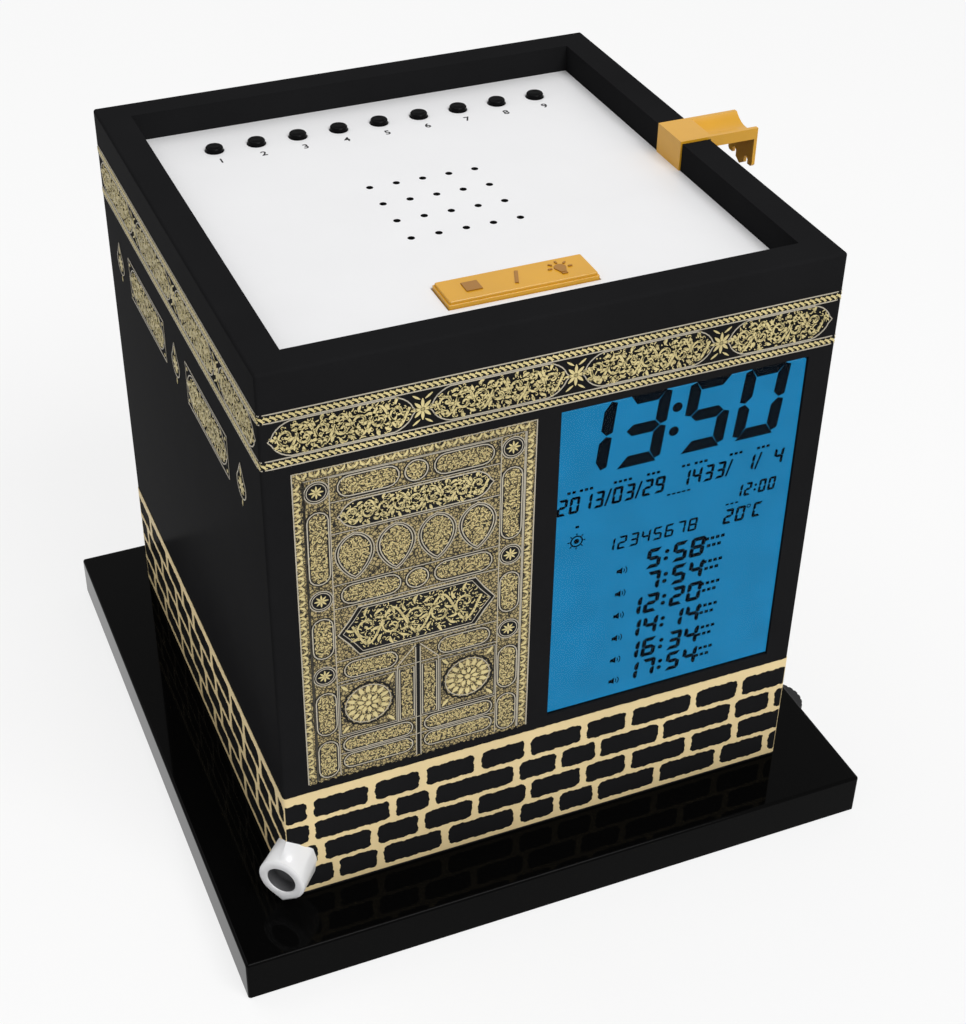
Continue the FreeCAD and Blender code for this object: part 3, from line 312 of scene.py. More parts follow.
def stitched(name, thread, ground, scale, threshold):
    """Cloth of gold seen from afar: bright thread wound over a dark ground."""
    tree, shader = new_material(name)
    warp = texture(tree, "TexNoise", scale * 0.7, Detail=2.0)
    cells = texture(tree, "TexVoronoi", scale)
    cells.feature = "DISTANCE_TO_EDGE"
    shift = add(tree, "VectorMath")
    shift.operation = "SCALE"
    put(shift, {"Scale": 0.9 * MM})
    total = add(tree, "VectorMath")
    join(warp, "Color", shift, 0)
    join(cells.inputs["Vector"].links[0].from_node, "Object", total, 0)
    join(shift, "Vector", total, 1)
    join(total, "Vector", cells, "Vector")
    tone = ramp(cells, "Distance", [(threshold * 0.5, linear(ground)), (threshold, shaded(thread, 0.55)),
                                    (threshold * 2.2, linear(thread))])
    join(tone, "Color", shader, "Base Color")
    put(shader, {"Roughness": 0.5, "Specular IOR Level": 0.25})
    relief(cells, "Distance", shader, 0.4, 0.03)


def lit_display(name, colour):
    """The blue backlight, a little uneven."""
    tree, shader = new_material(name)
    cloud = texture(tree, "TexNoise", 0.12, Detail=4.0)
    tone = ramp(cloud, "Fac", [(0.3, shaded(colour, 0.93)), (0.7, shaded(colour, 1.06))])
    join(tone, "Color", shader, "Emission Color")
    put(shader, {"Emission Strength": 0.92, "Base Color": shaded(colour, 0.08), "Roughness": 0.3,
                 "Specular IOR Level": 0.1})


def clear(name, colour, rough):
    """Clear acrylic with a faint haze."""
    tree, shader = new_material(name)
    polish(texture(tree, "TexNoise", 0.3, Detail=2.0), shader, rough * 0.5, rough)
    put(shader, {"Base Color": linear(colour), "Transmission Weight": 1.0, "IOR": 1.12})


moulded("black_gloss", (29, 29, 30), 0.2, gloss=0.002, grain=0.8, depth=0.004, ior=1.16)
moulded("plinth_gloss", (6, 6, 6), 0.04, gloss=0.2, grain=0.2, depth=0.001, ior=1.16)
moulded("black_matte", (24, 24, 25), 0.45, gloss=0.3, grain=3.0, depth=0.03)
moulded("key_black", (13, 13, 14), 0.3, gloss=0.15, grain=1.0, depth=0.004, ior=1.2)
moulded("white_roof", (236, 236, 237), 0.35, gloss=0.3, grain=2.0, depth=0.006, vary=0.01)
moulded("white_frame", (234, 234, 235), 0.22, gloss=0.5, grain=1.5, depth=0.004, vary=0.01)
moulded("gold", (214, 158, 36), 0.3, gloss=0.5, grain=2.5, depth=0.01)
clear("clear_window", (255, 255, 255), 0.04)
clear("clear_guide", (190, 220, 255), 0.2)
lit_display("blue_display", (30, 124, 173))
moulded("green_board", (18, 92, 48), 0.4, grain=1.0, vary=0.2)
moulded("plated_steel", (190, 190, 192), 0.3, grain=4.0, metal=1.0)
moulded("chip_black", (30, 30, 31), 0.55, grain=5.0, depth=0.02)
moulded("ribbon", (170, 172, 176), 0.5, grain=2.0, vary=0.1)
moulded("cell_sleeve", (40, 66, 120), 0.3, grain=0.5)
moulded("magnet", (62, 62, 64), 0.6, grain=4.0, depth=0.03)
moulded("rubber", (28, 28, 28), 0.8, gloss=0.2, grain=5.0, depth=0.03)
# Darker gold for the bar's raised marks: painted shade of their relief.
moulded("mark_gold_painted_shade", (158, 106, 16), 0.35, grain=2.5, depth=0.01)
# Grey for the inside of the corner frame's eye: painted shade in the deep recess.
moulded("eye_painted_shade", (84, 84, 86), 0.4, grain=1.5, vary=0.03)
# Near-black for the cups in the speaker holes: painted shade.
moulded("hole_painted_shade", (14, 14, 15), 0.7, gloss=0.1, grain=3.0)
moulded("print_thread", (214, 198, 142), 0.4, gloss=0.3, grain=4.0, depth=0.02, vary=0.12)
moulded("print_pale", (186, 178, 160), 0.4, gloss=0.3, grain=4.0, depth=0.02, vary=0.1)
moulded("print_dark", (16, 16, 17), 0.4, gloss=0.15, grain=3.0)
moulded("print_cream", (234, 211, 160), 0.45, gloss=0.2, grain=2.0, depth=0.02, vary=0.05)
stitched("curtain_cloth", (178, 160, 112), (20, 18, 15), 1.15, 0.11)
moulded("segment_ink", (3, 10, 18), 0.6, gloss=0.05, grain=2.0, ior=1.1)
moulded("roof_ink", (22, 22, 24), 0.5, gloss=0.2, grain=2.0)

slots = {row["node"]: row["material_slot"] for row in frame["record"]["subparts"]}
for node, thing in frame["nodes"].items():
    thing.data.materials.clear()
    thing.data.materials.append(materials["plinth_gloss" if node == "plinth" else slots[node]])


# Printed sheets and finished meshes
class Sheet:
    """Flat shapes in millimetres: u to the right, v downward, with a height above the wall."""

    def __init__(self, height):
        self.height = height
        self.points = []
        self.faces = []

    def area(self, outline):
        """A closed outline as a thin plate."""
        turn = sum(a[0] * b[1] - b[0] * a[1] for a, b in zip(outline, outline[1:] + outline[:1]))
        loop = outline if turn < 0 else outline[::-1]
        count = len(loop)
        base = len(self.points)
        self.points += [(u, v, SINK) for u, v in loop]
        self.points += [(u, v, self.height) for u, v in loop]
        self.faces.append([base + count + k for k in range(count)])
        for k in range(count):
            after = (k + 1) % count
            self.faces.append([base + k, base + after, base + count + after, base + count + k])

    def stroke(self, path, widths, closed=False):
        """A line along a path, with one width for each point."""
        count = len(path)
        base = len(self.points)
        for k, (u, v) in enumerate(path):
            before = path[k - 1] if closed or k else path[0]
            after = path[(k + 1) % count] if closed or k < count - 1 else path[-1]
            du = after[0] - before[0]
            dv = after[1] - before[1]
            length = hypot(du, dv) or 1.0
            nu = -dv / length * widths[k] / 2
            nv = du / length * widths[k] / 2
            self.points += [(u + nu, v + nv, SINK), (u + nu, v + nv, self.height),
                            (u - nu, v - nv, self.height), (u - nu, v - nv, SINK)]
        for k in range(count if closed else count - 1):
            a = base + 4 * k
            b = base + 4 * ((k + 1) % count)
            self.faces += [[a + j, a + j + 1, b + j + 1, b + j] for j in range(3)]
        if not closed:
            end = base + 4 * (count - 1)
            self.faces += [[base + 3, base + 2, base + 1, base], [end, end + 1, end + 2, end + 3]]

    def line(self, path, width):
        """A stroke of one width."""
        self.stroke(path, [width] * len(path))

    def rim(self, outline, width):
        """A closed stroke of one width."""
        self.stroke(outline, [width] * len(outline), closed=True)


def wrap(distance):
    """Where a point near a cube corner lies: along the wall and in from it, round the corner's curve."""
    if distance >= CORNER_ROUND:
        return distance, 0.0, 0.0
    angle = (1 - max(distance, 0.0) / CORNER_ROUND) * pi / 4
    return CORNER_ROUND * (1 - sin(angle)), CORNER_ROUND * (1 - cos(angle)), angle


def on_wall(side):
    """The map from a sheet to one wall of the cube."""
    angle = WALLS.index(side) * pi / 2

    def place(u, v, height):
        mirrored = u > HALF
        along, inward, lean = wrap(SIDE - u if mirrored else u)
        along = along - height * sin(lean)
        x = SIDE - along if mirrored else along
        x = x - HALF
        y = -HALF + inward - height * cos(lean)
        z = TOP - v
        turned = (x * cos(angle) - y * sin(angle), x * sin(angle) + y * cos(angle), z)
        return Vector(turned) * MM

    return place


def on_display(u, v, height):
    """The map from a sheet to the front of the display glass."""
    return Vector((u - HALF, GLASS_FRONT - height, TOP - v)) * MM


def on_level(z, centre):
    """The map from a sheet to a level face, with v toward the front."""
    def place(u, v, height):
        return Vector((u + centre[0], centre[1] - v, z + height)) * MM
    return place


def solid(name, work, coats, body=CASE):
    """A piece from a finished mesh, riding on a body."""
    bmesh.ops.recalc_face_normals(work, faces=work.faces)
    mesh = bpy.data.meshes.new(name)
    work.to_mesh(mesh)
    work.free()
    for coat in coats:
        mesh.materials.append(materials[coat])
    made = bpy.data.objects.new(name, mesh)
    bpy.context.scene.collection.objects.link(made)
    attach(made, body)
    return made


def piece(name, sheet, place, coat, body=CASE):
    """A piece from a sheet, laid on its face."""
    flat = bpy.data.meshes.new(name)
    flat.from_pydata([place(*point) for point in sheet.points], [], sheet.faces)
    work = bmesh.new()
    work.from_mesh(flat)
    bpy.data.meshes.remove(flat)
    return solid(name, work, [coat], body)


def loops(work, outlines):
    """A ring of vertices for each level outline, given as points and a height."""
    return [[work.verts.new(Vector((x, y, z)) * MM) for x, y in points] for points, z in outlines]


def skin(work, rings, smooth=False):
    """The faces between neighbouring rings, one list for each pair."""
    bands = []
    for first, second in zip(rings, rings[1:]):
        bands.append([work.faces.new((first[k - 1], first[k], second[k], second[k - 1]))
                      for k in range(len(first))])
        for face in bands[-1]:
            face.smooth = smooth
    return bands


def crown(node):
    """The height of a CAD node's top and the middle of its plan, in millimetres."""
    low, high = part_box(node)
    return high[2] / MM, ((low[0] + high[0]) / 2 / MM, (low[1] + high[1]) / 2 / MM)


def polar(u, v, reach, angle):
    """The point at a distance and an angle from another."""
    return (u + reach * cos(angle), v + reach * sin(angle))


def arc(centre, radius, start, end, count):
    """Points on an arc, in degrees, clockwise as the sheet is seen."""
    return [polar(*centre, radius, radians(start + (end - start) * k / count)) for k in range(count + 1)]


def ring(centre, radius, count=28):
    """A closed circle of points."""
    return arc(centre, radius, 0, 360, count)[:-1]


def capsule(u0, v0, u1, v1, steps=7):
    """A long round-ended outline, lying or standing."""
    radius = min(u1 - u0, v1 - v0) / 2
    if u1 - u0 > v1 - v0:
        middle = (v0 + v1) / 2
        return (arc((u1 - radius, middle), radius, -90, 90, steps)
                + arc((u0 + radius, middle), radius, 90, 270, steps))
    middle = (u0 + u1) / 2
    return (arc((middle, v0 + radius), radius, 180, 360, steps)
            + arc((middle, v1 - radius), radius, 0, 180, steps))


def rectangle(u0, v0, u1, v1):
    """A rectangle's four corners."""
    return [(u0, v0), (u1, v0), (u1, v1), (u0, v1)]


def inside(outline, u, v):
    """True if a point is within an outline."""
    hit = False
    for (u0, v0), (u1, v1) in zip(outline, outline[1:] + outline[:1]):
        if (v0 > v) != (v1 > v) and u < (u1 - u0) * (v - v0) / (v1 - v0) + u0:
            hit = not hit
    return hit


def clear_of(outline, u, v, margin):
    """True if a point and its surroundings are within an outline."""
    around = ((0, 0), (margin, 0), (-margin, 0), (0, margin), (0, -margin))
    return all(inside(outline, u + du, v + dv) for du, dv in around)


# Ornament: leaves, curls and beads
def leaf(sheet, u, v, length, width, angle, bend=0.0):
    """A pointed leaf, straight or bent."""
    path = []
    widths = []
    steps = 5
    for k in range(steps + 1):
        t = k / steps
        turn = angle + bend * (t - 0.5)
        path.append(polar(u, v, length * (t - 0.5), turn))
        widths.append(max(width * sin(pi * (0.08 + 0.86 * t)), 0.05))
    sheet.stroke(path, widths)


def curl(sheet, u, v, radius, width, angle, hand):
    """A tendril that winds inward and ends in a bead."""
    path = []
    widths = []
    steps = 10
    for k in range(steps + 1):
        t = k / steps
        turn = angle + hand * t * 1.45 * pi
        path.append(polar(u, v, radius * (1 - 0.72 * t), turn))
        widths.append(width * (0.35 + 0.8 * t))
    sheet.stroke(path, widths)


def bead(sheet, u, v, radius, sides=6):
    """A small bead."""
    sheet.area(ring((u, v), radius, sides))


def scatter(sheet, outline, pitch, draw, size):
    """Small leaves and curls over an outline's area."""
    us = [p[0] for p in outline]
    vs = [p[1] for p in outline]
    rows = int((max(vs) - min(vs)) / pitch) + 1
    columns = int((max(us) - min(us)) / pitch) + 1
    for row in range(rows):
        for column in range(columns):
            u = min(us) + (column + 0.5 * (row % 2) + draw.uniform(0.2, 0.8)) * pitch
            v = min(vs) + (row + draw.uniform(0.2, 0.8)) * pitch
            if not clear_of(outline, u, v, size):
                continue
            kind = draw.random()
            angle = draw.uniform(0, 2 * pi)
            if kind < 0.45:
                length = size * draw.uniform(2.0, 2.9)
                leaf(sheet, u, v, length, size * 0.62, angle, draw.uniform(-1.5, 1.5))
            elif kind < 0.85:
                curl(sheet, u, v, size * 1.1, size * 0.5, angle, draw.choice((-1, 1)))
            else:
                bead(sheet, u, v, size * 0.42)


def frieze(sheet, outline, v0, v1, draw):
    """A rolling vine with spiral tendrils and leaves over a ground of small leaves and beads."""
    tall = v1 - v0
    u_low = min(p[0] for p in outline)
    u_high = max(p[0] for p in outline)
    waves = max(1, round((u_high - u_low) / (tall * VINE_WAVE)))
    wave = (u_high - u_low) / waves
    middle = (v0 + v1) / 2
    path = []
    for k in range(waves * VINE_STEPS + 1):
        u = u_low + k * wave / VINE_STEPS
        v = middle - tall * VINE_SWING * cos(2 * pi * (u - u_low) / wave)
        if clear_of(outline, u, v, 0.25):
            path.append((u, v))
    sheet.line(path, VINE_WIDTH)
    around, long, wide = VINE_LEAF
    for k in range(waves * 2):
        hand = 1 if k % 2 else -1
        u = u_low + k * wave / 2
        v = middle - tall * 0.06 * hand
        if not clear_of(outline, u, v, tall * 0.24):
            continue
        for reach, width, way in TENDRILS:
            curl(sheet, u, v, tall * reach, width, pi / 2 * hand * way, hand)
        for turn in range(VINE_LEAVES):
            angle = pi / 2 * hand + hand * turn * 0.75
            at = polar(u, v, tall * around, angle)
            if clear_of(outline, *at, 0.5):
                leaf(sheet, *at, tall * long, wide, angle + 0.5 * hand, 0.5 * hand)
    scatter(sheet, outline, GROUND_PITCH, draw, GROUND_SIZE)


def rope(sheet, u0, u1, v0, v1, pale):
    """A twisted rope between two fine lines."""
    middle = (v0 + v1) / 2
    for v in (v0 + 0.14, v1 - 0.14):
        path = [(u0 + (u1 - u0) * k / 58, v) for k in range(59)]
        pale.line(path, FINE_LINE)
    count = round((u1 - u0) / ROPE_PITCH)
    for k in range(count):
        u = u0 + (k + 0.5) * (u1 - u0) / count
        leaf(sheet, u, middle, (v1 - v0) * 0.86, 0.62, radians(38), 0.9)
        bead(sheet, u + ROPE_PITCH / 2, middle - 0.55, 0.17)
        bead(sheet, u + ROPE_PITCH / 2, middle + 0.55, 0.17)


def cusped(u0, u1, v0, v1, steps=6):
    """A long frame whose ends draw in to a point in two hollow curves."""
    middle = (v0 + v1) / 2
    reach = (v1 - v0) / 2
    right = [(u1 - reach + reach * sin(a), middle - reach * cos(a) * (1 - 0.18 * sin(a)))
             for a in [pi * k / (2 * steps) for k in range(steps)]]
    tip = [(u1 + 0.7, middle)]
    lower = [(u, 2 * middle - v) for u, v in reversed(right)]
    half = right + tip + lower
    return half + [(u0 + u1 - u, v) for u, v in reversed(half)]


def star(sheet, u, v, radius):
    """An eight-leaved star about a bead."""
    for k in range(8):
        angle = pi * k / 4
        at = polar(u, v, radius * (0.55 if k % 2 else 0.62), angle)
        leaf(sheet, *at, radius * 0.95, radius * 0.3, angle)
    bead(sheet, u, v, radius * 0.22, sides=10)


def belt(side):
    """The belt round the top of one wall."""
    draw = random.Random("belt " + side)
    gold = Sheet(GOLD)
    pale = Sheet(GOLD)
    inner_top = BELT_TOP + TRIM_HEIGHT
    inner_bottom = BELT_BOTTOM - TRIM_HEIGHT
    rope(gold, 0.1, SIDE - 0.1, BELT_TOP, inner_top, pale)
    rope(gold, 0.1, SIDE - 0.1, inner_bottom, BELT_BOTTOM, pale)
    middle = (inner_top + inner_bottom) / 2
    for u0, u1 in zip(STARS, STARS[1:]):
        outline = cusped(u0 + CARTOUCHE_GAP, u1 - CARTOUCHE_GAP, inner_top + 0.25, inner_bottom - 0.25)
        pale.rim(outline, FINE_LINE)
        frieze(gold, outline, inner_top + 0.3, inner_bottom - 0.3, draw)
    for u in STARS[1:-1]:
        star(gold, u, middle, STAR_RADIUS)
        away, long, wide, tilt = SIDE_LEAF
        for v, way in ((inner_top + away, 1), (inner_bottom - away, -1)):
            for hand in (-1, 1):
                leaf(gold, u + hand * away, v, long, wide, radians(-hand * way * tilt))
    place = on_wall(side)
    piece(side + "_belt_ornament", gold, place, "print_thread")
    piece(side + "_belt_lines", pale, place, "print_pale")


def hangings(side):
    """The small framed panels and drops below the belt on a plain wall."""
    draw = random.Random("hangings " + side)
    gold = Sheet(GOLD)
    pale = Sheet(GOLD)
    for u0, u1 in PANELS:
        outline = cusped(u0 + 1.0, u1 - 1.0, PANEL_TOP + 0.9, PANEL_BOTTOM - 0.9)
        pale.rim(rectangle(u0, PANEL_TOP, u1, PANEL_BOTTOM), RIM_LINE)
        pale.rim(outline, FINE_LINE)
        frieze(gold, outline, PANEL_TOP + 1.1, PANEL_BOTTOM - 1.1, draw)
        for u in (u0 + 1.4, u1 - 1.4):
            for v in (PANEL_TOP + 1.4, PANEL_BOTTOM - 1.4):
                bead(gold, u, v, 0.5)
    for u in DROPS:
        drop = [(u, DROP_TOP)] + arc((u, DROP_MIDDLE), DROP_RADIUS, -50, 230, 16)
        pale.rim(drop, 0.28)
        star(gold, u, DROP_MIDDLE, DROP_STAR)
        for v, length, width in DROP_LEAVES:
            leaf(gold, u, v, length, width, pi / 2)
    place = on_wall(side)
    piece(side + "_hanging_ornament", gold, place, "print_thread")
    piece(side + "_hanging_lines", pale, place, "print_pale")


def rosette(gold, pale, dark, u, v, radius):
    """A round flower with scalloped petals."""
    outline = []
    for k in range(SCALLOPS * 4):
        angle = 2 * pi * k / (SCALLOPS * 4)
        outline.append(polar(u, v, radius * (1 + 0.03 * cos(SCALLOPS * angle)), angle))
    dark.rim(outline, 0.55)
    pale.rim(ring((u, v), radius * 0.9, 40), HAIR_LINE)
    for count, reach, length, width in ROSETTE_LEAVES:
        for k in range(count):
            angle = 2 * pi * k / count
            leaf(gold, *polar(u, v, radius * reach, angle), length, width, angle)
    bead(gold, u, v, 0.7, sides=12)


def framed(gold, pale, dark, outline, draw, dense=0.95, size=0.42):
    """A field with a dark and a pale rim, filled with small ornament."""
    dark.rim(outline, 0.95)
    pale.rim(outline, RIM_LINE)
    scatter(gold, outline, dense, draw, size)


def onion(u, v0, v1, width):
    """A medallion that rises to a point like an onion dome."""
    points = []
    steps = 20
    for k in range(steps + 1):
        t = k / steps
        swell = sin(pi * t ** 0.8) ** 0.75 if 0 < t < 1 else 0.0
        points.append((u + swell * width / 2, v0 + (v1 - v0) * t))
    return points + [(2 * u - a, b) for a, b in reversed(points[1:-1])]


def curtain_border(ground, dark, gold, pale, draw):
    """The cloth with its ragged foot, and the leafy trim along its edges."""
    left, right, top, bottom = CURTAIN_LEFT, CURTAIN_RIGHT, CURTAIN_TOP, CURTAIN_BOTTOM
    trim = CURTAIN_TRIM
    ragged = []
    for k in range(RAGGED_STEPS + 1):
        ragged.append((right - (right - left) * k / RAGGED_STEPS, bottom + draw.uniform(-0.35, 0.55)))
    ground.area([(left, top), (right, top)] + ragged)

    def hem(inset, foot):
        """The curtain's left, upper and right edge, drawn in by an inset."""
        a = left + inset
        b = right - inset
        return [(a, foot), (a, top + inset), (b, top + inset), (b, foot)]

    def trim_leaf(u, v, angle, flip):
        """One leaf of the zigzag trim."""
        leaf(gold, u, v, 2.2, 0.62, angle + flip * 0.75, 0.8 * flip)

    pale.line(hem(0.15, bottom), RIM_LINE)
    dark.line(hem(trim, bottom - 0.4), 0.7)
    pale.line(hem(trim, bottom - 0.4), 0.28)
    for k in range(int((right - left - 2) / TRIM_PITCH)):
        trim_leaf(left + 1.7 + k * TRIM_PITCH, top + trim / 2, pi / 2, 1 if k % 2 else -1)
    for k in range(int((bottom - top - 4) / TRIM_PITCH)):
        for u in (left + trim / 2, right - trim / 2):
            trim_leaf(u, top + 4.0 + k * TRIM_PITCH, 0.0, 1 if k % 2 else -1)


def curtain_columns(dark, gold, pale, draw):
    """The column of discs and long fields on each side."""
    for u in COLUMNS:
        side = COLUMN_WIDTH / 2
        for v in DISCS:
            dark.area(ring((u, v), DISC_RADIUS))
            pale.rim(ring((u, v), DISC_RADIUS - 0.2), FINE_LINE)
            pale.rim(ring((u, v), DISC_RADIUS - 0.75), 0.2)
            star(gold, u, v, 1.6)
        for v0, v1 in COLUMN_FIELDS:
            framed(gold, pale, dark, capsule(u - side + 0.25, v0, u + side - 0.25, v1), draw, 1.0, 0.46)
        for edge in (u - side - 0.2, u + side + 0.2):
            pale.line([(edge, CURTAIN_TOP + CURTAIN_TRIM), (edge, CURTAIN_BOTTOM - 0.5)], HAIR_LINE)


def curtain_field(dark, gold, pale, draw):
    """The rows of frames between the columns, above the door."""
    for v in RULES:
        dark.line([(FIELD_LEFT, v), (FIELD_RIGHT, v)], 0.55)
        pale.line([(FIELD_LEFT, v), (FIELD_RIGHT, v)], HAIR_LINE)
    for v in ROW_MIDDLES:
        for u0, u1 in ROW_FIELDS:
            framed(gold, pale, dark, capsule(u0, v - 2.8, u1, v + 2.8), draw)
        framed(gold, pale, dark, ring((MIDDLE, v), 2.8), draw, 0.9)
    wide = cusped(*WIDE_FRAME)
    dark.area(wide)
    pale.rim(wide, RIM_LINE)
    frieze(gold, wide, WIDE_FRAME[2] + 0.1, WIDE_FRAME[3] - 0.1, draw)
    for u in MEDALLIONS:
        framed(gold, pale, dark, onion(u, 47.2, 59.6, 8.2), draw, 0.9, 0.42)
        pale.rim(onion(u, 46.7, 60.3, 9.6), HAIR_LINE)
    great = list(GREAT_FRAME)
    dark.area(great)
    pale.rim(great, 0.32)
    shrunk = [(MIDDLE + (u - MIDDLE) * 0.94, GREAT_MIDDLE + (v - GREAT_MIDDLE) * 0.9) for u, v in great]
    pale.rim(shrunk, 0.2)
    frieze(gold, shrunk, GREAT_MIDDLE - 6.4, GREAT_MIDDLE + 6.6, draw)
    for u0, u1 in LINTELS:
        framed(gold, pale, dark, capsule(u0, 85.3, u1, 90.3), draw)


def curtain_door(dark, gold, pale, draw):
    """The two leaves below, each with a strip, a rosette in a square, and two sills."""
    dark.line([(MIDDLE, 85.0), (MIDDLE, CURTAIN_BOTTOM)], 0.9)
    for edge in (-0.6, 0.6):
        pale.line([(MIDDLE + edge, 86.0), (MIDDLE + edge, CURTAIN_BOTTOM)], 0.24)
    for hand in (-1, 1):
        pale.line([(MIDDLE + hand * 0.6, 85.2), (MIDDLE + hand * 5.4, 90.6), (MIDDLE + hand * 5.4, 109.0)],
                  FINE_LINE)
        u0, u1 = sorted((MIDDLE + hand * 1.1, MIDDLE + hand * 4.9))
        framed(gold, pale, dark, rectangle(u0, DOOR_TOP, u1, DOOR_BOTTOM), draw, 1.0, 0.42)
        centre = MIDDLE + hand * ROSETTE_AT[0]
        square = rectangle(centre - 7.4, DOOR_TOP, centre + 7.4, DOOR_BOTTOM)
        dark.rim(square, 0.9)
        pale.rim(square, FINE_LINE)
        rosette(gold, pale, dark, centre, ROSETTE_AT[1], ROSETTE_RADIUS)
        for du in (-6.0, 6.0):
            for dv in (-6.8, 6.8):
                leaf(gold, centre + du, ROSETTE_AT[1] + dv, 2.6, 0.8, atan2(dv, du))
        u0, u1 = sorted((MIDDLE + hand * 1.6, MIDDLE + hand * 20.0))
        for v0, v1 in SILLS:
            framed(gold, pale, dark, capsule(u0, v0, u1, v1), draw)


def curtain():
    """The embroidered curtain on the front wall."""
    draw = random.Random("curtain")
    ground = Sheet(GROUND)
    dark = Sheet(DARK)
    gold = Sheet(GOLD)
    pale = Sheet(GOLD)
    curtain_border(ground, dark, gold, pale, draw)
    curtain_columns(dark, gold, pale, draw)
    curtain_field(dark, gold, pale, draw)
    curtain_door(dark, gold, pale, draw)
    place = on_wall("front")
    piece("curtain_cloth", ground, place, "curtain_cloth")
    piece("curtain_fields", dark, place, "print_dark")
    piece("curtain_ornament", gold, place, "print_thread")
    piece("curtain_lines", pale, place, "print_pale")


def brick(u0, u1, v0, v1, draw):
    """A brick's outline: a round-cornered block with an uneven edge."""
    radius = min(BRICK_ROUND, (u1 - u0) / 3)
    path = []
    for centre, start in (((u1 - radius, v0 + radius), -90), ((u1 - radius, v1 - radius), 0),
                          ((u0 + radius, v1 - radius), 90), ((u0 + radius, v0 + radius), 180)):
        path += arc(centre, radius, start, start + 90, 4)
    waves = [(draw.uniform(0.8, 1.3) * pace, draw.uniform(0, 6.3), size) for pace, size in BRICK_WAVES]
    outline = []
    run = 0.0
    for (ua, va), (ub, vb) in zip(path, path[1:] + path[:1]):
        length = hypot(ub - ua, vb - va)
        steps = max(1, int(length / BRICK_STEP))
        for k in range(steps):
            t = k / steps
            swell = sum(size * sin(pace * (run + t * length) + phase) for pace, phase, size in waves)
            nu = (vb - va) / (length or 1) * swell
            nv = -(ub - ua) / (length or 1) * swell
            outline.append((ua + (ub - ua) * t + nu, va + (vb - va) * t + nv))
        run += length
    return outline


def sheet_with_holes(name, outer, holes, cuts):
    """A flat mesh of an outline with holes, split along upright lines and trimmed to the wall's width."""
    curve = bpy.data.curves.new(name, "CURVE")
    curve.dimensions = "2D"
    curve.fill_mode = "BOTH"
    for outline in [outer] + holes:
        spline = curve.splines.new("POLY")
        spline.points.add(len(outline) - 1)
        for point, (u, v) in zip(spline.points, outline):
            point.co = (u, v, 0.0, 1.0)
        spline.use_cyclic_u = True
    carrier = bpy.data.objects.new(name, curve)
    bpy.context.scene.collection.objects.link(carrier)
    flat = bpy.data.meshes.new_from_object(carrier.evaluated_get(bpy.context.evaluated_depsgraph_get()))
    work = bmesh.new()
    work.from_mesh(flat)
    bmesh.ops.remove_doubles(work, verts=work.verts, dist=0.001)
    for u in cuts:
        every = work.verts[:] + work.edges[:] + work.faces[:]
        bmesh.ops.bisect_plane(work, geom=every, plane_co=(u, 0, 0), plane_no=(1, 0, 0),
                               clear_inner=u <= 0, clear_outer=u >= SIDE)
    bpy.data.objects.remove(carrier)
    bpy.data.meshes.remove(flat)
    return work


def upright_joints(side, row, draw):
    """Where the upright joints of a row stand. The rear keys each have the middle of a brick."""
    if side == "front":
        return list(FRONT_JOINTS[row])
    joints = []
    u = draw.uniform(5.0, 13.0) if row % 2 else draw.uniform(9.0, 16.0)
    while u < SIDE - 6:
        joints.append(u)
        u += draw.uniform(*BRICK_LENGTHS)
    if side == "back" and row == 0:
        joints = [HALF + REAR_KEY_PITCH * k for k in range(-5, 6)]
    return joints


def course(side):
    """The mortar of the brick course on one wall."""
    draw = random.Random("course " + side)
    holes = []
    for row, (upper, lower) in enumerate(zip(BANDS, BANDS[1:])):
        joints = upright_joints(side, row, draw)
        edge = 0.4 if side in ("left", "right") else -2.0
        ends = [edge - JOINT_WIDTH / 2] + joints + [SIDE - edge + JOINT_WIDTH / 2]
        for a, b in zip(ends, ends[1:]):
            half = JOINT_WIDTH / 2 * draw.uniform(0.8, 1.15)
            holes.append(brick(a + half, b - half, upper[1], lower[0], draw))
    top = BANDS[0][0]
    foot = BANDS[-1][1]
    outer = [(-COURSE_OVERRUN, top)]
    for k in range(TOP_STEPS + 1):
        outer.append((SIDE * k / TOP_STEPS, top + draw.uniform(-0.1, 0.1)))
    outer += [(SIDE + COURSE_OVERRUN, top), (SIDE + COURSE_OVERRUN, foot), (-COURSE_OVERRUN, foot)]
    near = [CORNER_ROUND * share for share in (0.0, 0.25, 0.5, 0.75, 1.0)]
    work = sheet_with_holes(side + "_mortar", outer, holes, near + [SIDE - u for u in near])
    raised = bmesh.ops.extrude_face_region(work, geom=work.faces[:])
    lifted = {element for element in raised["geom"] if isinstance(element, bmesh.types.BMVert)}
    place = on_wall(side)
    for vertex in work.verts:
        height = GOLD if vertex in lifted else SINK
        vertex.co = place(vertex.co.x, vertex.co.y, height)
    solid(side + "_mortar", work, ["print_cream"])


# Figures of the display
def digit(sheet, sign, u, v0, v1, width, thick):
    """One seven-segment figure, leaning to the right."""
    middle = (v0 + v1) / 2
    half = thick / 2
    gap = thick * 0.05
    tip = half * 0.4
    reach = half * 0.55
    shoulder = half * 0.35

    left = u + half
    right = u + width - half
    high = v0 + half
    low = v1 - half
    top = [(left - tip, high - half), (right + tip, high - half), (right - half - gap, high + half),
           (left + half + gap, high + half)]
    level = [(left + gap, middle), (left + half + gap, middle - half), (right - half - gap, middle - half),
             (right - gap, middle), (right - half - gap, middle + half), (left + half + gap, middle + half)]
    post = [(left - half, high - reach + gap + shoulder), (left, high - reach + gap),
            (left + half, high + half + gap), (left + half, middle - half - gap), (left, middle - gap),
            (left - half, middle - gap - shoulder)]

    def mirror(points, across, down):
        """An outline turned over from left to right, from top to bottom, or both."""
        return [(left + right - a if across else a, high + low - b if down else b) for a, b in points]

    shapes = {"a": top, "b": mirror(post, True, False), "c": mirror(post, True, True),
              "d": mirror(top, False, True), "e": mirror(post, False, True), "f": post, "g": level}
    for name in SEGMENTS[sign]:
        sheet.area([(a + (v1 - b) * SLANT, b) for a, b in shapes[name]])


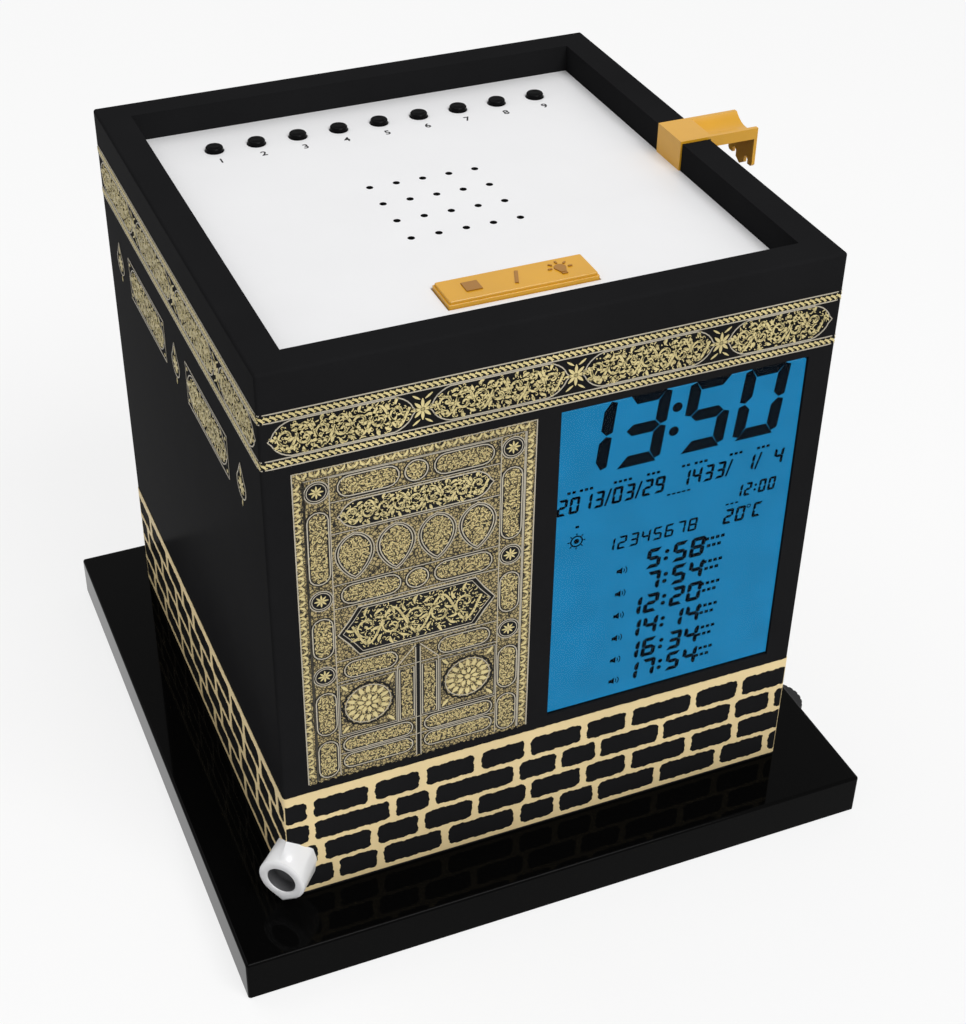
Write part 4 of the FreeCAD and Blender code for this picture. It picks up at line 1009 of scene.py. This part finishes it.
def figures(sheet, text, u, v0, v1, width, pitch, thick):
    """A row of figures with colons, slashes and degree rings."""
    for sign in text:
        if sign == ":":
            for share in (0.32, 0.68):
                v = v0 + (v1 - v0) * share
                at = u + thick * 0.6 + (v1 - v) * SLANT
                sheet.area(ring((at, v), thick * 0.55, 14))
            u += thick * 2.1
        elif sign == "/":
            sheet.line([(u, v1), (u + width * 0.55, v0)], thick * 0.7)
            u += width * 0.62
        elif sign == "*":
            sheet.rim(ring((u + 0.5, v0 + 0.5), 0.5, 12), 0.26)
            u += 1.6
        else:
            digit(sheet, sign, u, v0, v1, width, thick)
            u += pitch


def dashes(sheet, u, v, count, length, height):
    """A short row of small bars in place of a caption."""
    for k in range(count):
        a = u + k * (length + 0.45)
        sheet.area(rectangle(a, v - height / 2, a + length, v + height / 2))


def loudspeaker(sheet, u, v):
    """A small loudspeaker mark: box, horn and two waves."""
    sheet.area([(u, v - 0.5), (u + 0.7, v - 0.5), (u + 1.6, v - 1.1), (u + 1.6, v + 1.1), (u + 0.7, v + 0.5),
                (u, v + 0.5)])
    for reach in (0.8, 1.5):
        sheet.line(arc((u + 1.4, v), reach, -45, 45, 5), 0.28)


def display():
    """The figures of the display."""
    ink = Sheet(INK_HEIGHT)
    for sign, u in CLOCK_DIGITS:
        digit(ink, sign, u, 27.7, 48.6, 12.4, 3.2)
    for v in CLOCK_POINTS:
        ink.area(ring((103.4 + (47.3 - v) * SLANT * 0.6, v), 1.35, 18))
    for text, u in DATE_ROWS:
        figures(ink, text, u, 53.9, 58.8, 2.7, 3.3, 0.78)
    for u, count in CAPTIONS:
        dashes(ink, u, 52.4, count, 0.9, 0.75)
    dashes(ink, 103.5, 60.2, 5, 0.95, 0.5)
    figures(ink, "12:00", 122.9, 62.5, 66.5, 2.1, 2.7, 0.68)
    dashes(ink, 120.8, 67.9, 3, 0.9, 0.45)
    figures(ink, "20*C", 120.4, 69.5, 74.1, 2.7, 3.4, 0.78)
    ink.rim(ring(DISC_MARK, 1.55, 20), 0.4)
    ink.area(ring(DISC_MARK, 0.75, 10))
    for k in range(8):
        angle = pi * k / 4
        leaf(ink, *polar(*DISC_MARK, 2.15, angle), 0.8, 0.35, angle)
    dashes(ink, 78.7, 63.2, 1, 1.0, 0.7)
    figures(ink, "12345678", 87.2, 69.5, 73.5, 2.5, 3.3, 0.6)
    for text, u, v in TIME_ROWS:
        figures(ink, text, u, v - 0.2, v + 6.0, 4.2, 4.95, 1.2)
        loudspeaker(ink, LOUDSPEAKER_AT, v + 4.4)
        dashes(ink, 116.0, v + 1.2, 4, 1.05, 0.95)
        dashes(ink, 116.6, v + 3.5, 3, 1.05, 0.95)
    piece("display_figures", ink, on_display, "segment_ink")


# Marks and forms on the roof and the corner
def roof_numbers():
    """A plain number under each round key."""
    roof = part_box("roof_panel")[1][2]
    for k in range(1, KEY_COUNT + 1):
        low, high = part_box(f"play_button_{k}")
        curve = bpy.data.curves.new(f"roof_number_{k}", "FONT")
        curve.body = str(k)
        curve.size = NUMBER_SIZE * MM
        curve.align_x = "CENTER"
        curve.extrude = 0.04 * MM
        curve.offset = 0.06 * MM
        thing = bpy.data.objects.new(f"roof_number_{k}", curve)
        thing.location = ((low[0] + high[0]) / 2, low[1] - NUMBER_DROP * MM, roof)
        bpy.context.scene.collection.objects.link(thing)
        curve.materials.append(materials["roof_ink"])
        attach(thing, CASE)


def bar_marks():
    """Raised marks on the bar: a stop square, a stroke and a shining lamp, in a darker gold that paints the
    shade of their relief.
    """
    top, centre = crown("stop_light_bar")
    sheet = Sheet(MARK_HEIGHT)
    sheet.area(rectangle(-13.4, -2.0, -9.4, 2.0))
    sheet.line([(-1.0, 2.6), (1.0, -2.6)], 0.8)
    bulb = (11.4, -0.3)
    neck = 0.7
    sheet.area(arc(bulb, 1.45, 140, 400, 18) + [(bulb[0] + neck, 1.9), (bulb[0] - neck, 1.9)])
    sheet.area(rectangle(bulb[0] - neck, 2.2, bulb[0] + neck, 2.7))
    for k in range(5):
        angle = radians(-180 + 45 * k)
        sheet.line([polar(*bulb, 2.1, angle), polar(*bulb, 3.1, angle)], 0.45)
    piece("bar_marks", sheet, on_level(top, centre), "mark_gold_painted_shade", "stop_light_bar")


def speaker_holes():
    """A black cup in each hole of the speaker's field, as painted shade that darkens the holes."""
    roof = crown("roof_panel")[0]
    radius = HOLE_DIAMETER / 2 - 0.03
    profile = ((radius + 0.02, -0.03), (radius, -0.06), (radius - 0.05, -HOLE_DEPTH))
    work = bmesh.new()
    for i in range(HOLE_COLUMNS):
        for j in range(HOLE_ROWS):
            centre = ((i - (HOLE_COLUMNS - 1) / 2) * HOLE_PITCH_X, (j - (HOLE_ROWS - 1) / 2) * HOLE_PITCH_Y)
            rings = loops(work, [(ring(centre, reach, 24), roof + level) for reach, level in profile])
            skin(work, rings[::-1])
            work.faces.new(rings[-1])
    solid("speaker_hole_painted_shade", work, ["hole_painted_shade"])


def key_forms():
    """A crisp round cap over each roof key: straight sides, a small bevel and a slightly dished top."""
    roof = crown("roof_panel")[0]
    for k in range(1, KEY_COUNT + 1):
        top, centre = crown(f"play_button_{k}")
        profile = ((CAP_RADIUS, roof - CAP_DEPTH), (CAP_RADIUS, top - 0.25), (CAP_RADIUS - 0.2, top),
                   (CAP_RADIUS - 0.6, top), (CAP_RADIUS - 1.0, top - 0.12), (0.4, top - 0.25))
        work = bmesh.new()
        rings = loops(work, [(ring(centre, radius, 48), z) for radius, z in profile])
        skin(work, rings, smooth=True)
        work.faces.new(rings[-1])
        work.faces.new(rings[0][::-1])
        made = solid(f"play_button_{k}_form", work, ["key_black"], f"play_button_{k}")
        made.data.set_sharp_from_angle(angle=SHARP_ANGLE)
        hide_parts(f"play_button_{k}")


def round_block(centre, inset):
    """The bar's outline drawn in by an inset, with small round corners."""
    across = BAR_LENGTH / 2 - inset - BAR_CORNER
    deep = BAR_WIDTH / 2 - inset - BAR_CORNER
    path = []
    for quarter, (su, sv) in enumerate(((1, 1), (-1, 1), (-1, -1), (1, -1))):
        corner = (centre[0] + su * across, centre[1] + sv * deep)
        path += arc(corner, BAR_CORNER, 90 * quarter, 90 * quarter + 90, 4)
    return path


def bar_form():
    """The long gold bar: a plate that steps in to a flat top with a fine edge."""
    top, centre = crown("stop_light_bar")
    roof = crown("roof_panel")[0]
    profile = ((0.0, roof - BAR_DEPTH), (0.0, roof + BAR_STEP - 0.1), (0.1, roof + BAR_STEP),
               (0.4, roof + BAR_STEP), (0.4, top - 0.15), (0.55, top))
    work = bmesh.new()
    rings = loops(work, [(round_block(centre, inset), z) for inset, z in profile])
    skin(work, rings)
    work.faces.new(rings[-1])
    work.faces.new(rings[0][::-1])
    made = solid("stop_light_bar_form", work, ["gold"], "stop_light_bar")
    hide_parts("stop_light_bar")


def corner_outline(turn):
    """The frame's edge on a wall, along it and above the frame's middle, at an angle from straight up."""
    for (t0, z0), (t1, z1) in zip(CORNER_EDGE, CORNER_EDGE[1:]):
        a0 = atan2(t0, z0)
        a1 = atan2(t1, z1)
        if turn <= a1 + 1e-9:
            share = (turn - a0) / (a1 - a0)
            return t0 + (t1 - t0) * share, z0 + (z1 - z0) * share
    return CORNER_EDGE[-1]


def corner_rim(turn, radius):
    """The rim's radius at an angle from straight up: round, with a point below."""
    below = pi - turn
    tangent = acos(RIM_RADIUS / RIM_TIP)
    return radius if below > tangent else radius / cos(tangent - below)


def corner_frame():
    """The white frame on the corner: broad sides drawn in to a pointed round lip, and a deep eye whose
    inside is painted grey as shade.
    """
    work = bmesh.new()
    root = Vector((-HALF, -HALF, FOOT + CORNER_MIDDLE))
    out = Vector((-1, -1, 0)).normalized()
    side = Vector((1, -1, 0)).normalized()
    up = Vector((0, 0, 1))

    def loop(shape):
        """A ring of vertices from a function of the angle and the hand."""
        made = []
        for k in range(CORNER_STEPS):
            turn = 2 * pi * k / CORNER_STEPS
            hand = 1 if turn <= pi else -1
            made.append(work.verts.new((root + shape(min(turn, 2 * pi - turn), hand)) * MM))
        return made

    def on_walls(turn, hand):
        """The edge where the frame meets the two walls."""
        along, height = corner_outline(turn)
        wall = Vector((1, 0, 0)) if hand > 0 else Vector((0, 1, 0))
        return wall * along + up * height

    def lip(reach, radius, pointed=True):
        """A level ring about the frame's axis."""
        def shape(turn, hand):
            size = corner_rim(turn, radius) if pointed else radius
            return out * reach + side * hand * size * sin(turn) + up * size * cos(turn)
        return shape

    def between(first, second, share, bulge):
        """A ring between two others, pushed outward a little."""
        def shape(turn, hand):
            a = first(turn, hand)
            b = second(turn, hand)
            return a + (b - a) * share + out * bulge
        return shape

    outer = lip(LIP_OUT - 1.1, RIM_RADIUS)
    shapes = [on_walls, between(on_walls, outer, 0.35, 0.25), between(on_walls, outer, 0.7, 0.2), outer,
              lip(LIP_OUT - 0.45, RIM_RADIUS - 0.05), lip(LIP_OUT - 0.12, RIM_RADIUS - 0.4),
              lip(LIP_OUT, RIM_RADIUS - 0.9), lip(LIP_OUT, EYE_RADIUS + 0.35, False),
              lip(LIP_OUT - 0.1, EYE_RADIUS + 0.1, False), lip(LIP_OUT - 0.35, EYE_RADIUS, False),
              lip(EYE_FLOOR, EYE_RADIUS - 0.3, False)]
    rings = [loop(shape) for shape in shapes]
    bands = skin(work, rings, smooth=True)
    # The eye's last band and its floor take the grey of painted shade.
    for face in bands[-1] + [work.faces.new(rings[-1])]:
        face.material_index = 1
    made = solid("corner_frame_form", work, ["white_frame", "eye_painted_shade"])
    made.data.set_sharp_from_angle(angle=SHARP_ANGLE)
    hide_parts("corner_frame")


for wall in WALLS:
    belt(wall)
    course(wall)
for wall in PLAIN_WALLS:
    hangings(wall)
curtain()
display()
roof_numbers()
bar_marks()
speaker_holes()
key_forms()
bar_form()
corner_frame()


# Surroundings
def pale_to_the_eye(lit, seen, out):
    """Show one shader to light and another to the eye, to gloss and to clear things."""
    tree = lit.id_data
    path = add(tree, "LightPath")
    first = add(tree, "Math")
    second = add(tree, "Math")
    mix = add(tree, "MixShader")
    for node in (first, second):
        node.operation = "MAXIMUM"
    join(path, "Is Camera Ray", first, 0)
    join(path, "Is Glossy Ray", first, 1)
    join(first, 0, second, 0)
    join(path, "Is Transmission Ray", second, 1)
    join(second, 0, mix, "Fac")
    join(lit, 0, mix, 1)
    join(seen, 0, mix, 2)
    join(mix, 0, out, "Surface")


def surroundings():
    """A pale world and a pale floor that keeps the clock's shadow."""
    world = bpy.data.worlds.new("world")
    world.use_nodes = True
    bpy.context.scene.world = world
    tree = world.node_tree
    tree.nodes.clear()
    lit = add(tree, "Background", {"Strength": WORLD_STRENGTH})
    seen = add(tree, "Background", {"Color": (1.0, 1.0, 1.0, 1.0)})
    pale_to_the_eye(lit, seen, add(tree, "OutputWorld"))
    bpy.ops.mesh.primitive_plane_add(size=FLOOR_SIZE)
    floor = bpy.context.object
    floor.name = "floor"
    tree = new_material("floor")[0]
    tree.nodes.clear()
    diffuse = add(tree, "BsdfDiffuse", {"Color": (FLOOR_GREY, FLOOR_GREY, FLOOR_GREY, 1.0)})
    blend = add(tree, "MixShader", {"Fac": FLOOR_SHINE})
    join(diffuse, 0, blend, 1)
    join(add(tree, "Emission"), 0, blend, 2)
    pale_to_the_eye(diffuse, blend, add(tree, "OutputMaterial"))
    floor.data.materials.append(materials["floor"])


def lamp(name, place, size, power):
    """A soft square lamp that looks at the clock."""
    data = bpy.data.lights.new(name, "AREA")
    data.size = size
    data.energy = power
    thing = bpy.data.objects.new(name, data)
    thing.location = place
    thing.rotation_euler = (Vector(LAMP_AIM) - Vector(place)).to_track_quat("-Z", "Y").to_euler()
    bpy.context.scene.collection.objects.link(thing)


def camera():
    """The camera at the photograph's viewing angle."""
    data = bpy.data.cameras.new("camera")
    data.lens = CAMERA_LENS
    data.sensor_width = SENSOR
    data.shift_x = CAMERA_SHIFT
    data.clip_start = 0.01
    thing = bpy.data.objects.new("camera", data)
    thing.location = CAMERA_PLACE
    thing.rotation_euler = (radians(90 - CAMERA_DOWN), 0.0, radians(CAMERA_TURN))
    bpy.context.scene.collection.objects.link(thing)
    bpy.context.scene.camera = thing


surroundings()
for row in LAMPS:
    lamp(*row)
camera()
bpy.context.scene.view_settings.view_transform = "Standard"
